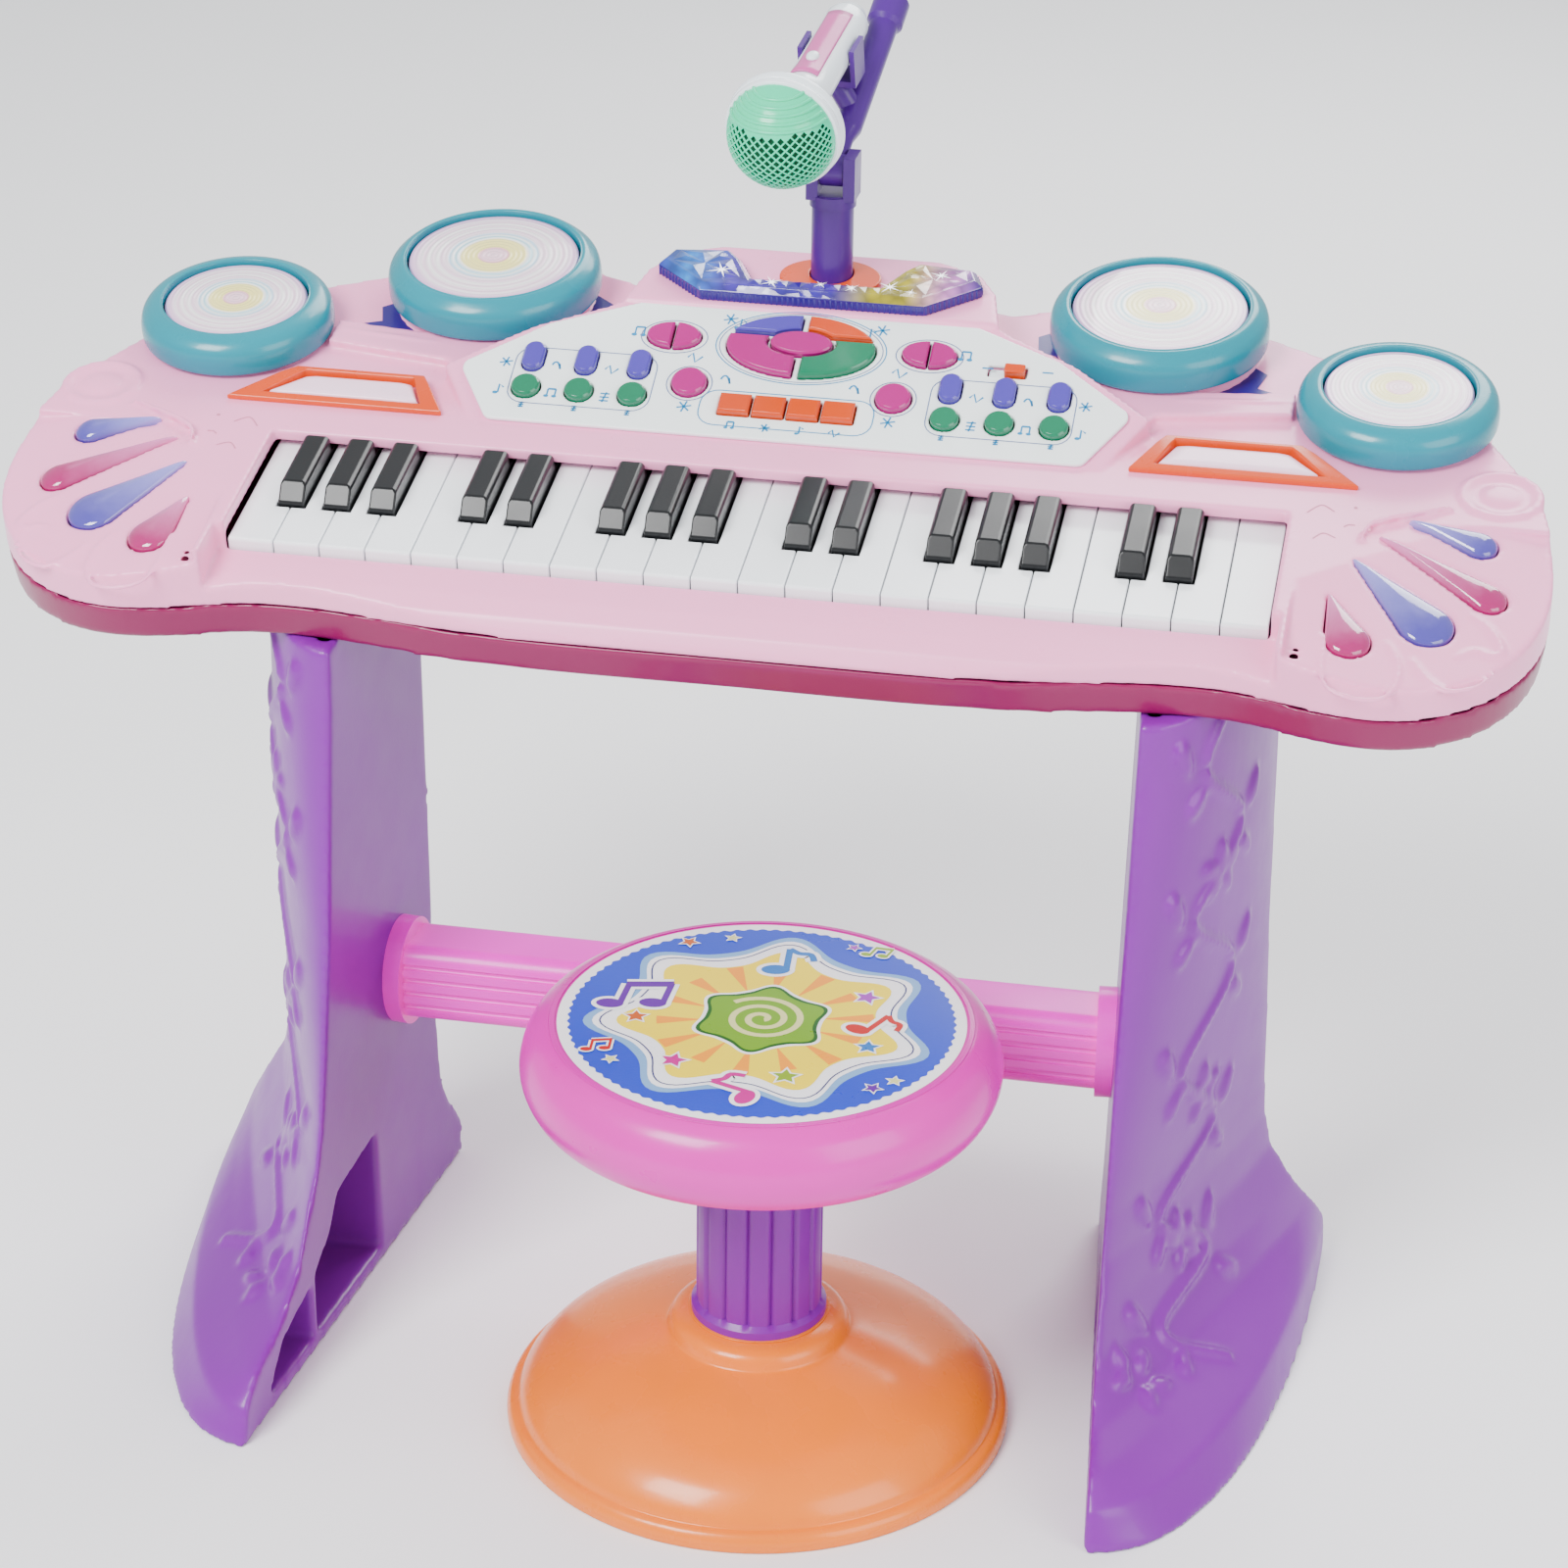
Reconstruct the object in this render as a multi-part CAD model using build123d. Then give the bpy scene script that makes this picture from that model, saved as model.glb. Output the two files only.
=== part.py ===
from build123d import *
import math
import os

# Toy electronic keyboard on two legs, with a clip-on microphone and a matching stool.
# +X is the player's right, +Y points away from the player, +Z is up and the floor is Z = 0.
# Keyboard parts are drawn in the "deck" frame: u along the keys, v up the slope towards
# the back, w square to the key tops, with w = 0 at the top of the white keys.

# ---- driving dimensions, millimetres ----
DECK_TILT = 11.3          # slope of the keyboard towards the player, degrees
DECK_Y = -40.6            # front edge of the white keys
DECK_Z = 322.6
PITCH = 18.3              # white key pitch
WHITE_KEYS = 22
KEY_GAP = 0.5
KEY_LENGTH = 65.7         # length of white key that shows
KEY_TAIL = 20.0           # hidden length behind it, up to the pivot
KEY_DEPTH = 9.0
BLACK_WIDTH = 10.4
BLACK_HEIGHT = 8.0
BLACK_FRONT = 25.3        # from the front of the white keys
BLACK_AFTER = (0, 1, 2, 4, 5, 7, 8, 9, 11, 12, 14, 15, 16, 18, 19)

WALL = 2.5                # shell wall
SPLIT_W = -18.0           # where the two shells meet
DECK_W = 8.0              # flat top of the upper shell
FLOOR_W = -33.0           # underside of the lower shell

PANEL_V = 84.5            # front edge of the sloping control panel
PANEL_SLOPE = 15.9        # relative to the key tops, degrees
PANEL_THICK = 2.0
REAR_W = 29.5             # raised platform behind the panel

DRUMS = {                 # name: (u, v, top w, lens radius, rim radius, bottom w of the rim)
    "outer": (237.6, 138.8, 23.0, 29.3, 39.6, 9.5),
    "inner": (138.5, 180.4, 27.7, 35.4, 44.2, 13.0),
}
SHELF_W = 12.0            # raised strip between the console and the drums
SHELF = ((130, 112), (137.5, 112), (144.5, 123), (197, 131), (197, 148), (169, 145),
         (140, 141.5), (121, 150.5), (91, 166.5), (76, 166.5), (76, 150), (100, 135))
CUP_U, CUP_V, CUP_W, CUP_R = 281.0, 90.3, 9.5, 16.5

POST_X = 4.0              # microphone post
POST_V = 177.0
POST_R = 8.6
POST_TOP_Z = 424.0

LEG_TOP = 320.0
INNER_X = 145.9           # inner face of a leg at Y = 0 on the floor
INNER_TOE = 0.10          # how fast it opens towards the player
INNER_LEAN = 0.018        # how fast it opens upwards
BAR_Y, BAR_Z, BAR_DEEP, BAR_TALL = -3.0, 120.5, 31.0, 33.0
STOOL_X, STOOL_Y = 25.0, -109.5
SEAT_Z = 174.0
SEAT_R = 92.0
SEAT_THICK = 36.0
BASE_R = 99.0

HALF_KEYS = WHITE_KEYS * PITCH / 2
DECK = Plane(
    origin=(0, DECK_Y, DECK_Z),
    x_dir=(1, 0, 0),
    z_dir=(0, -math.sin(math.radians(DECK_TILT)), math.cos(math.radians(DECK_TILT))),
)
PANEL = Plane(DECK.location * Location((0, PANEL_V, DECK_W), (PANEL_SLOPE, 0, 0)))


# ---- helpers ----
def at(u, v, w):
    """A location in the deck frame."""
    return Location((u, v, w))


def on_deck(shape):
    """Move a shape drawn in the deck frame to its real place."""
    return DECK.location * shape


def on_panel(shape):
    """Move a shape drawn on the control panel's face to its real place."""
    return PANEL.location * shape


def block(u0, u1, v0, v1, w0, w1):
    """A box given by its corners."""
    size = Box(u1 - u0, v1 - v0, w1 - w0)
    return at((u0 + u1) / 2, (v0 + v1) / 2, (w0 + w1) / 2) * size


def rod(radius, w0, w1, u=0.0, v=0.0):
    """An upright cylinder from w0 to w1."""
    return at(u, v, (w0 + w1) / 2) * Cylinder(radius, w1 - w0)


def prism(points, w0, w1):
    """An upright prism on a polygon."""
    face = make_face(Polyline(*points, close=True))
    return extrude(at(0, 0, w0) * face, amount=w1 - w0)


def side_prism(points, u0, u1):
    """A (v, w) outline extruded along u."""
    face = make_face(Polyline(*[(0, v, w) for v, w in points], close=True))
    return at(u0, 0, 0) * extrude(face, amount=u1 - u0, dir=(1, 0, 0))


def both_sides(shape):
    """A shape on the right and its mirror image on the left."""
    return [shape, mirror(shape, about=Plane.YZ)]


def save(node, solids):
    """Write one node as a compound of separate solids."""
    parts = []
    for item in solids if isinstance(solids, list) else [solids]:
        parts += item.solids()
    export_step(Compound(children=parts, label=node), f"parts/{node}.step")


# ---- keyboard casing ----
def outline(inset=0.0):
    """Plan of the casing: wavy front, round side lobes, and lobes behind the drums."""
    outer_u, outer_v, _, _, outer_r, _ = DRUMS["outer"]
    inner_u, inner_v, _, _, inner_r, _ = DRUMS["inner"]

    def on_circle(u, v, r, degrees):
        angle = math.radians(degrees)
        return (u + r * math.cos(angle), v + r * math.sin(angle))

    cup = [on_circle(CUP_U, CUP_V, CUP_R - inset, a) for a in (-12, 25, 62)]
    outer = [on_circle(outer_u, outer_v, outer_r - 2 - inset, a) for a in (-12, 50, 112)]
    inner = [on_circle(inner_u, inner_v, inner_r - 2 - inset, a) for a in (25, 78, 131)]
    front = [(0, -25.7), (125, -22.5), (190, -18.5), (245, -28.5), (279, -14)]
    front = [(u, v + inset) for u, v in front]
    side = [(301 - inset, 22), (303 - inset, 52), cup[0]]
    back = 203 - inset
    edges = [Spline(*front, *side, tangents=[(1, 0), (-0.2, 1)])]
    edges.append(ThreePointArc(*cup))
    edges.append(Line(cup[2], outer[0]))
    edges.append(ThreePointArc(*outer))
    edges.append(Line(outer[2], inner[0]))
    edges.append(ThreePointArc(*inner))
    edges += Polyline(inner[2], (76, back - 5), (60, back), (0, back), front[0]).edges()
    half = make_face(Wire(edges))
    return half + mirror(half, about=Plane.YZ)


def console_points(grow):
    """Plan of the six-sided console under the control panel, in the deck frame."""
    right = [(119.5 + grow, PANEL_V - 1), (137 + grow, 113), (105 + grow, 137), (72 + grow, 153)]
    return right + [(-u, v) for u, v in reversed(right)]


def above_panel():
    """Everything above the console's sloping face."""
    return on_panel_local(block(-200, 200, -40, 140, 0, 60))


def on_panel_local(shape):
    """Place a shape drawn on the panel's face in the deck frame."""
    return Location((0, PANEL_V, DECK_W), (PANEL_SLOPE, 0, 0)) * shape


def lobe_plane(side):
    """The sloping top of a side lobe, which falls outwards and forwards."""
    return Plane(origin=(side * 255, 20, 2.6), x_dir=(1, 0, -0.11 * side), z_dir=(0.11 * side, -0.14, 1))


def upper_shell():
    skin = outline()
    body = extrude(at(0, 0, SPLIT_W) * skin, amount=DECK_W - SPLIT_W)
    console = prism(console_points(6), 0, 40) - above_panel()
    platform_plan = [(77, 153), (72, 178), (64, 192), (45, 201)]
    platform_plan += [(-u, v) for u, v in reversed(platform_plan)]
    body += console + prism(platform_plan, 0, REAR_W)
    for shelf in both_sides(prism(SHELF, DECK_W - 1, SHELF_W)):
        body += shelf
    for u, v, _, _, rim_r, rim_w in DRUMS.values():
        for side in (1, -1):
            body += rod(rim_r - 4, DECK_W - 1, rim_w + 4, side * u, v)
    for slab in both_sides(lobe_plane(1).location * block(-47, 60, -60, 48, 0, 30)):
        body -= slab
    for side in (1, -1):
        body += rod(CUP_R - 0.4, -10, CUP_W, side * CUP_U, CUP_V)
        body -= at(side * CUP_U, CUP_V, CUP_W + 36) * Sphere(39)
    front_lip = [(-40, 12), (-40, -18.5), (-27, -17), (-22, -10.5), (-14, -6.5), (-1, -4), (-1, 12)]
    body -= side_prism(front_lip, -HALF_KEYS - 4, HALF_KEYS + 4)

    # hollow inside, then the openings for keys, pads, panel and petals
    inside = extrude(at(0, 0, SPLIT_W - 1) * outline(WALL), amount=DECK_W - WALL - 3 - SPLIT_W)
    under_lip = [(-40, -20), (-28, -20), (-22, -13.5), (-14, -9.5), (2, -7), (2, 20), (-40, 20)]
    front_keep = side_prism(under_lip, -HALF_KEYS - 8, HALF_KEYS + 8)
    lobes_keep = block(-320, 320, -60, 130, -7.5, 20) - block(-214, 214, -60, 130, -9, 21)
    body -= inside - front_keep - lobes_keep
    bay = side_prism([(-1, -40), (-1, 20), (KEY_LENGTH + 2, 20), (KEY_LENGTH + 0.8, 3), (110, 3), (110, -40)],
                     -HALF_KEYS - 0.6, HALF_KEYS + 0.6)
    body -= bay
    body -= prism(console_points(1.5), -20, 40) & below_panel(4.5)
    for u, v, top, lens_r, _, _ in DRUMS.values():
        for side in (1, -1):
            body -= rod(lens_r + 1.5, SPLIT_W - 1, top, side * u, v)
    body -= block(-60, 60, 158, 190, -20, REAR_W - 3)
    for well in petal_shapes(0.5, -14, 10):
        body -= well
    for button in button_shapes(0.6, -14, 6):
        body -= on_panel_local(button)
    post = DECK.location.inverse() * (Location((POST_X, 0, 0)) * post_core(POST_R + 0.3))
    body -= post
    return on_deck(body)


def below_panel(depth):
    """Everything more than depth below the console's sloping face."""
    return on_panel_local(block(-200, 200, -40, 140, -60, -depth))


def lower_shell():
    outer = loft([at(0, 0, FLOOR_W) * outline(2), at(0, 0, SPLIT_W) * outline()], ruled=True)
    inner = loft([at(0, 0, FLOOR_W + WALL) * outline(WALL + 2), at(0, 0, SPLIT_W) * outline(WALL)], ruled=True)
    rail = block(-HALF_KEYS, HALF_KEYS, KEY_LENGTH + 10, KEY_LENGTH + 16, FLOOR_W + 1, -KEY_DEPTH - 0.6)
    return on_deck(outer - inner + rail)


def control_panel():
    plan = [(119.5, 1), (136, 29), (104, 54.5), (70, 69.5)]
    plan += [(-u, v) for u, v in reversed(plan)]
    sheet = prism(plan, 0.05, PANEL_THICK)
    upright = sheet.edges().filter_by(Axis.Z)
    sheet = fillet(upright, 5)
    for hole in button_shapes(0.4, -2, 4):
        sheet -= hole
    return on_panel(sheet)


# ---- buttons on the panel, drawn on its face (z = 0 is the console) ----
def upright(face, low, high):
    return extrude(Location((0, 0, low)) * face, amount=high - low)


def pill(u, v, width, length, grow):
    return Location((u, v, 0)) * SlotOverall(length + 2 * grow, width + 2 * grow, rotation=90)


def half_ellipses(u, v, half_u, half_v, gap, grow):
    """An ellipse split down its middle into two buttons."""
    whole = Location((u, v, 0)) * Ellipse(half_u + grow, half_v + grow)
    keep = [Location((u + s * (20 + gap / 2 - grow), v, 0)) * Rectangle(40, 60) for s in (-1, 1)]
    return [whole & part for part in keep]


def melody_pad(grow):
    """A round-cornered ring of four segments about a centre button."""
    ring = Location((0, 51, 0)) * Ellipse(30.2 + grow, 16.3 + grow)
    ring -= Location((0, 52.5, 0)) * Ellipse(14.2 - grow, 7.6 - grow)
    faces = []
    for side in (-1, 1):
        upper = Location((side * (30 + 1.5 - grow), 57 + 20 - grow, 0)) * Rectangle(60, 40)
        lower = Location((side * (30 + 1.5 - grow), 55 - 20 + grow, 0)) * Rectangle(60, 40)
        faces += [ring & upper, ring & lower]
    return faces + [Location((0, 52.5, 0)) * Ellipse(12.6 + grow, 6.2 + grow)]


def button_faces(grow):
    faces = []
    for column in range(3):
        for side in (-1, 1):
            u = side * (63 + 21.7 * column)
            faces.append(pill(u, 35, 8.6, 14.5, grow))
            faces.append(Location((u, 18.7, 0)) * Circle(5.7 + grow))
    for side in (-1, 1):
        faces.append(Location((side * 41.2, 27.5, 0)) * Circle(7.1 + grow))
        faces += half_ellipses(side * 52, 52, 11, 6.6, 1.2, grow)
    faces += melody_pad(grow)
    for key in range(4):
        faces.append(Location((-20.85 + 13.9 * key, 17.5, 0)) * Rectangle(12.6 + 2 * grow, 10 + 2 * grow))
    return faces


def button_shapes(grow, low, high):
    solids = []
    for face in button_faces(grow):
        solids += upright(face, low, high).solids()
    slot = Location((84, 47, 0)) * Rectangle(15 + 2 * grow, 5.4 + 2 * grow)
    return solids + [upright(slot, low, high)]


def panel_buttons():
    caps = []
    for solid in button_shapes(0, -1.5, PANEL_THICK + 2.6)[:-1]:
        top = solid.faces().sort_by(Axis.Z)[-1]
        caps.append(on_panel(chamfer(top.edges(), 0.8)))
    return caps


def power_switch():
    knob = Location((87, 47, 0)) * Box(8.4, 4.8, 7)
    return on_panel(Location((0, 0, 1.5)) * knob)


# ---- petals: translucent drops fanned out over each lobe ----
def drop(tip, end, width, grow):
    """A drop outline with its point at tip and its round end at end."""
    length = math.dist(tip, end) + 2 * grow
    radius = width / 2 + grow
    reach = length - radius
    touch = math.acos(radius / reach)
    rise, across = radius * math.sin(touch), radius * math.cos(touch)
    edges = [
        Line((0, 0), (reach - across, rise)),
        ThreePointArc((reach - across, rise), (length, 0), (reach - across, -rise)),
        Line((reach - across, -rise), (0, 0)),
    ]
    face = make_face(Wire(edges))
    heading = math.degrees(math.atan2(end[1] - tip[1], end[0] - tip[0]))
    back = grow / length
    start = (tip[0] - (end[0] - tip[0]) * back, tip[1] - (end[1] - tip[1]) * back)
    return Location((start[0], start[1], 0), (0, 0, heading)) * face


PETALS = (                # tip, round end, width: near the player to far
    ((221, 18), (234, -14), 17),
    ((227, 40), (266, 2), 21),
    ((235, 55), (286, 26), 14),
    ((246, 66), (281, 57), 13),
)


def petal_shapes(grow, low, high):
    solids = []
    for tip, end, width in PETALS:
        flat = drop((tip[0] - 255, tip[1] - 20), (end[0] - 255, end[1] - 20), width, grow)
        right = lobe_plane(1).location * upright(flat, low, high)
        solids += both_sides(right)
    return solids


def petal_buttons():
    caps = []
    for solid in petal_shapes(0, -7, 2.5):
        caps.append(on_deck(solid))
    return caps


# ---- keys ----
def black_centre(index):
    return -HALF_KEYS + PITCH * (BLACK_AFTER[index] + 1)


def white_key(index):
    left = -HALF_KEYS + PITCH * index + KEY_GAP / 2
    right = left + PITCH - KEY_GAP
    key = block(left, right, 0, KEY_LENGTH + KEY_TAIL, -KEY_DEPTH, 0)
    front = key.faces().sort_by(Axis.Y)[0]
    key = chamfer(front.edges().sort_by(Axis.Z)[-1], 0.8)
    for black in range(len(BLACK_AFTER)):
        centre = black_centre(black)
        if abs(centre - (left + right) / 2) < PITCH:
            half = BLACK_WIDTH / 2 + 0.8
            key -= block(centre - half, centre + half, BLACK_FRONT - 0.8, 120, -20, 20)
    return on_deck(key)


def black_key(index):
    tail = KEY_LENGTH + KEY_TAIL
    shown = KEY_LENGTH - 0.5
    side = [(BLACK_FRONT, -KEY_DEPTH), (BLACK_FRONT, 1.5), (BLACK_FRONT + 6, BLACK_HEIGHT),
            (shown, BLACK_HEIGHT), (shown, 1.6), (tail, 1.6), (tail, -KEY_DEPTH)]
    centre = black_centre(index)
    key = side_prism(side, centre - BLACK_WIDTH / 2, centre + BLACK_WIDTH / 2)
    top = key.faces().filter_by(lambda f: f.center().Z > BLACK_HEIGHT - 0.1).sort_by(Axis.Z)[-1]
    key = chamfer(top.edges().filter_by(Axis.Y), 1.2)
    return on_deck(key)


# ---- drums ----
def rim(name, side):
    u, v, top, lens_r, rim_r, rim_w = DRUMS[name]
    low = rim_w + 0.02
    ring = rod(rim_r, low, top + 1.5) - rod(lens_r + 0.6, low - 1, top + 3)
    outer_edge = ring.edges().filter_by(GeomType.CIRCLE).group_by(Axis.Z)[-1].sort_by(SortBy.RADIUS)[-1]
    ring = fillet(outer_edge, 6)
    ring -= rod(rim_r - 3.9, low - 1, rim_w + 4.05)
    return on_deck(at(side * u, v, 0) * ring)


def drum_pad(name, side):
    u, v, top, lens_r, _, _ = DRUMS[name]
    disc = rod(lens_r, top - 6, top)
    stem = rod(7, -4, top - 5.5)
    return on_deck(at(side * u, v, 0) * (disc + stem))


# ---- trims ----
def frame_trim(side):
    """The raised orange border of a trapezoid panel beside the console."""
    outer = [(137.5, 86), (227, 86), (203, 108), (150, 108)]
    hole = [(147.5, 90), (213, 90), (199, 105.5), (154, 105.5)]
    bar = prism(outer, DECK_W + 0.02, DECK_W + 5) - prism(hole, 0, 20)
    bar -= Location((180, 86, DECK_W + 2.4), (9, 0, 0)) * block(-80, 80, -30, 40, 0, 20)
    return on_deck(bar if side > 0 else mirror(bar, about=Plane.YZ))


def escutcheon():
    plate = extrude(at(POST_X, POST_V, REAR_W + 0.02) * Ellipse(21, 14.5), amount=3)
    hole = DECK.location.inverse() * (Location((POST_X, 0, 0)) * post_core(POST_R + 0.3))
    return on_deck(plate - hole)


def light_bar():
    right = [(46, 155.5), (67, 174), (63, 185), (39, 187.5), (33, 180), (24, 162)]
    plan = right + [(-u, v) for u, v in reversed(right)]
    jewel = prism(plan, REAR_W + 0.02, REAR_W + 7)
    top = jewel.faces().sort_by(Axis.Z)[-1]
    return on_deck(chamfer(top.edges(), 2.5))


# ---- microphone and its stand ----
def post_core(radius):
    """The upright post, drawn at its place in Y and Z but centred on X = 0."""
    foot = DECK.location * at(0, POST_V, REAR_W - 12)
    y, z = foot.position.Y, foot.position.Z
    return Location((0, y, z)) * Cylinder(radius, POST_TOP_Z - z, align=(Align.CENTER, Align.CENTER, Align.MIN))


def mic_post():
    core = post_core(POST_R)
    y = core.center().Y
    cheeks = Location((0, y, POST_TOP_Z + 7)) * (Box(20, 15, 18) - Box(10.4, 20, 30))
    hub = Location((0, y, POST_TOP_Z - 3)) * Cylinder(9.5, 5)
    return Location((POST_X, 0, 0)) * (core + hub + cheeks)


PIVOT_Z = POST_TOP_Z + 9
MIC_FRONT = Vector(-9, 88, 460)       # centre of the grille's ball
MIC_TAIL = Vector(1, 183, 483)
KNOB = Vector(13, 195.6, 478)


def along(start, end):
    """A plane at start whose normal points to end, with x level and y pointing up."""
    normal = (end - start).normalized()
    level = Vector(0, 0, 1).cross(normal).normalized()
    return Plane(origin=start, x_dir=level, z_dir=normal)


def turned(profile):
    """A solid of revolution about Z from (radius, height) points, closed on the axis."""
    points = [(r, 0, z) for r, z in profile]
    face = make_face(Polyline((0, 0, profile[0][1]), *points, (0, 0, profile[-1][1]), close=True))
    return revolve(face, axis=Axis.Z)


def mic_holder():
    """A boom with a counterweight knob, a knuckle in the post's fork and an open cradle."""
    pivot = Vector(POST_X, post_core(POST_R).center().Y, PIVOT_Z)
    boom_line = KNOB - pivot
    length = boom_line.length
    boom = turned([(3.8, 0), (3.8, 16), (5.6, 22), (6, length - 4), (7.6, length - 2),
                   (7.6, length + 9), (5.5, length + 12)])
    knuckle = Location(pivot, (0, 90, 0)) * Cylinder(6.5, 9.6)
    seat = MIC_FRONT + (MIC_TAIL - MIC_FRONT) * 0.68
    frame = along(MIC_FRONT, MIC_TAIL)
    frame.origin = seat
    cradle = block(-11.9, 11.9, -12.5, 4, -7, 7) - block(-9.9, 9.9, -9.9, 20, -20, 20)
    arm_foot = pivot + boom_line * 0.38
    arm_line = along(arm_foot, seat - frame.y_dir * 11.5)
    arm = arm_line.location * rod(4.5, 0, (seat - frame.y_dir * 11.5 - arm_foot).length)
    return along(pivot, KNOB).location * boom + knuckle + frame.location * cradle + arm


def microphone():
    length = (MIC_TAIL - MIC_FRONT).length
    body = turned([(23, 1), (24, 3), (24, 6), (12, 22), (9.4, 34), (9.2, length - 8), (6, length)])
    ball = Sphere(22.6) - Location((0, 0, 30.5)) * Box(60, 60, 60)
    ball -= Sphere(20.4)
    place = along(MIC_FRONT, MIC_TAIL).location
    return [place * body, place * ball]


# ---- legs and crossbar ----
LEG_SECTIONS = (          # height, front edge y, outer edge x, rear y, roundness of the outer side
    (0, -181, 236, 56, 0.6),
    (15, -176, 235, 58, 0.45),
    (24, -165, 232, 51, 0.2),
    (30, -143, 229, 46, 0.12),
    (43, -122, 222, 38, 0.08),
    (60, -110, 212, 36, 0.08),
    (75, -98, 209, 35, 0.1),
    (91, -91, 208, 35, 0.13),
    (118, -84, 207, 35, 0.2),
    (164, -74, 205, 36, 0.32),
    (209, -67, 204, 37, 0.42),
    (264, -59, 203, 38, 0.5),
    (LEG_TOP, -56, 203, 38, 0.55),
)


def inner_x(y, z):
    """The inner face of the right leg: toed out towards the front, leaning out upwards."""
    return INNER_X - INNER_TOE * y + INNER_LEAN * z


def leg_section(z, front, outer, rear, roundness, inset=0.0, shift=0.0):
    """A flat inner side, a flat back and a bulging outer side that sweeps to the front."""
    front, outer, rear = front + 2 * inset, outer - inset, rear - inset
    corner = (inner_x(front, z) + shift, front, z)
    inner_back = (inner_x(rear, z) + shift, rear, z)
    outer_back = (outer, rear, z)
    sweep = Bezier(outer_back, (outer, rear - roundness * (rear - front), z),
                   (corner[0] + roundness * (outer - corner[0]), front, z), corner)
    return make_face(Wire([Line(corner, inner_back), Line(inner_back, outer_back), sweep]))


def foot_pocket(points):
    """A pocket sunk into the inner side of the foot, from a (y, z) outline."""
    face = make_face(Polyline(*[(100, y, z) for y, z in points], close=True))
    cut = extrude(face, amount=130, dir=(1, 0, 0))
    return cut & loft([leg_section(*row, inset=4, shift=-20) for row in LEG_SECTIONS[:7]], ruled=True)


def leg():
    body = loft([leg_section(*row) for row in LEG_SECTIONS], ruled=True)
    body -= loft([leg_section(*row, inset=4.5, shift=3) for row in LEG_SECTIONS if row[0] > 80], ruled=True)
    body -= foot_pocket([(-109, 6), (-109, 44), (-129, 30), (-150, 12), (-152, 6)])
    body -= foot_pocket([(-105, 6), (-37, 6), (-37, 60), (-95, 54), (-105, 46)])
    above = DECK.location * block(-400, 400, -300, 400, FLOOR_W - 0.02, 200)
    return body - above


def crossbar():
    """A fluted bar with a thin oval lip against each leg."""
    reach = inner_x(BAR_Y, BAR_Z) + 8
    section = RectangleRounded(BAR_DEEP, BAR_TALL, 7)
    for groove in (-9, -3, 3, 9):
        section -= Location((-BAR_DEEP / 2, groove)) * Circle(1.3)
    bar = extrude(Plane.YZ.location * section, amount=reach, both=True)
    lip = extrude(Plane.YZ.location * Ellipse(20, 23), amount=7, both=True)
    lip_angle = math.degrees(math.atan(INNER_TOE))
    for side in (1, -1):
        bar += Location((side * (reach - 8), 0, 0), (0, 0, side * lip_angle)) * lip
    return Location((0, BAR_Y, BAR_Z)) * bar & between_legs()


def between_legs():
    """The room between the two leaning inner faces of the legs."""
    floors = []
    for z in (60, 200):
        corners = [(side * (inner_x(y, z) - 0.02), y, z) for side, y in ((-1, -90), (1, -90), (1, 60), (-1, 60))]
        floors.append(make_face(Polyline(*corners, close=True)))
    return loft(floors, ruled=True)


# ---- stool ----
def fluted_column(radius, z0, z1):
    column = rod(radius, z0, z1)
    for groove in range(16):
        angle = math.radians(groove * 22.5)
        column -= rod(1.6, z0 - 1, z1 + 1, radius * math.cos(angle), radius * math.sin(angle))
    return column


def stool_pedestal():
    base = turned([(BASE_R, 0), (BASE_R, 5), (94, 8), (90, 14), (78, 24), (58, 33), (36, 38),
                   (32, 44), (27, 46), (27, 47)])
    hollow = turned([(BASE_R - 4, -1), (BASE_R - 4, 2), (88, 10), (76, 20), (57, 29), (20, 34)])
    place = Location((STOOL_X, STOOL_Y, 0))
    return [place * (base - hollow), place * fluted_column(24.5, 47.02, SEAT_Z - SEAT_THICK - 0.02)]


def stool_seat():
    """A round cushion-shaped shell, open underneath, with a boss for the column."""
    low = SEAT_Z - SEAT_THICK
    profile = [(74, low), (85, low + 4), (SEAT_R - 1, low + 11), (SEAT_R, low + 18), (SEAT_R - 2, low + 26),
               (86, SEAT_Z - 4), (79, SEAT_Z)]
    under = turned([(72, low - 1), (82, low + 6), (88, low + 14), (88, low + 20), (84, low + 28), (77, SEAT_Z - 4)])
    seat = turned(profile) - (under - rod(30, low - 2, SEAT_Z))
    return Location((STOOL_X, STOOL_Y, 0)) * seat


# ---- inside the casing ----
def electronics():
    board = block(-110, 110, 100, 160, -14, -12.4)
    contacts = block(-195, 195, 20, 60, -20, -18.4)
    speakers = [on_deck(rod(30, FLOOR_W + WALL + 0.5, -14, side * 165, 125)) for side in (-1, 1)]
    batteries = on_deck(block(-60, 60, 105, 155, FLOOR_W + WALL + 0.5, -15))
    return [on_deck(board), on_deck(contacts), batteries] + speakers


def screws():
    spots = [(-230, 10), (-100, 8), (100, 8), (230, 10), (-200, 150), (-60, 180), (60, 180), (200, 150)]
    pins = []
    for u, v in spots:
        head = rod(3, FLOOR_W - 1.5, FLOOR_W - 0.02)
        pins.append(on_deck(at(u, v, 0) * head))
    return pins


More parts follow.
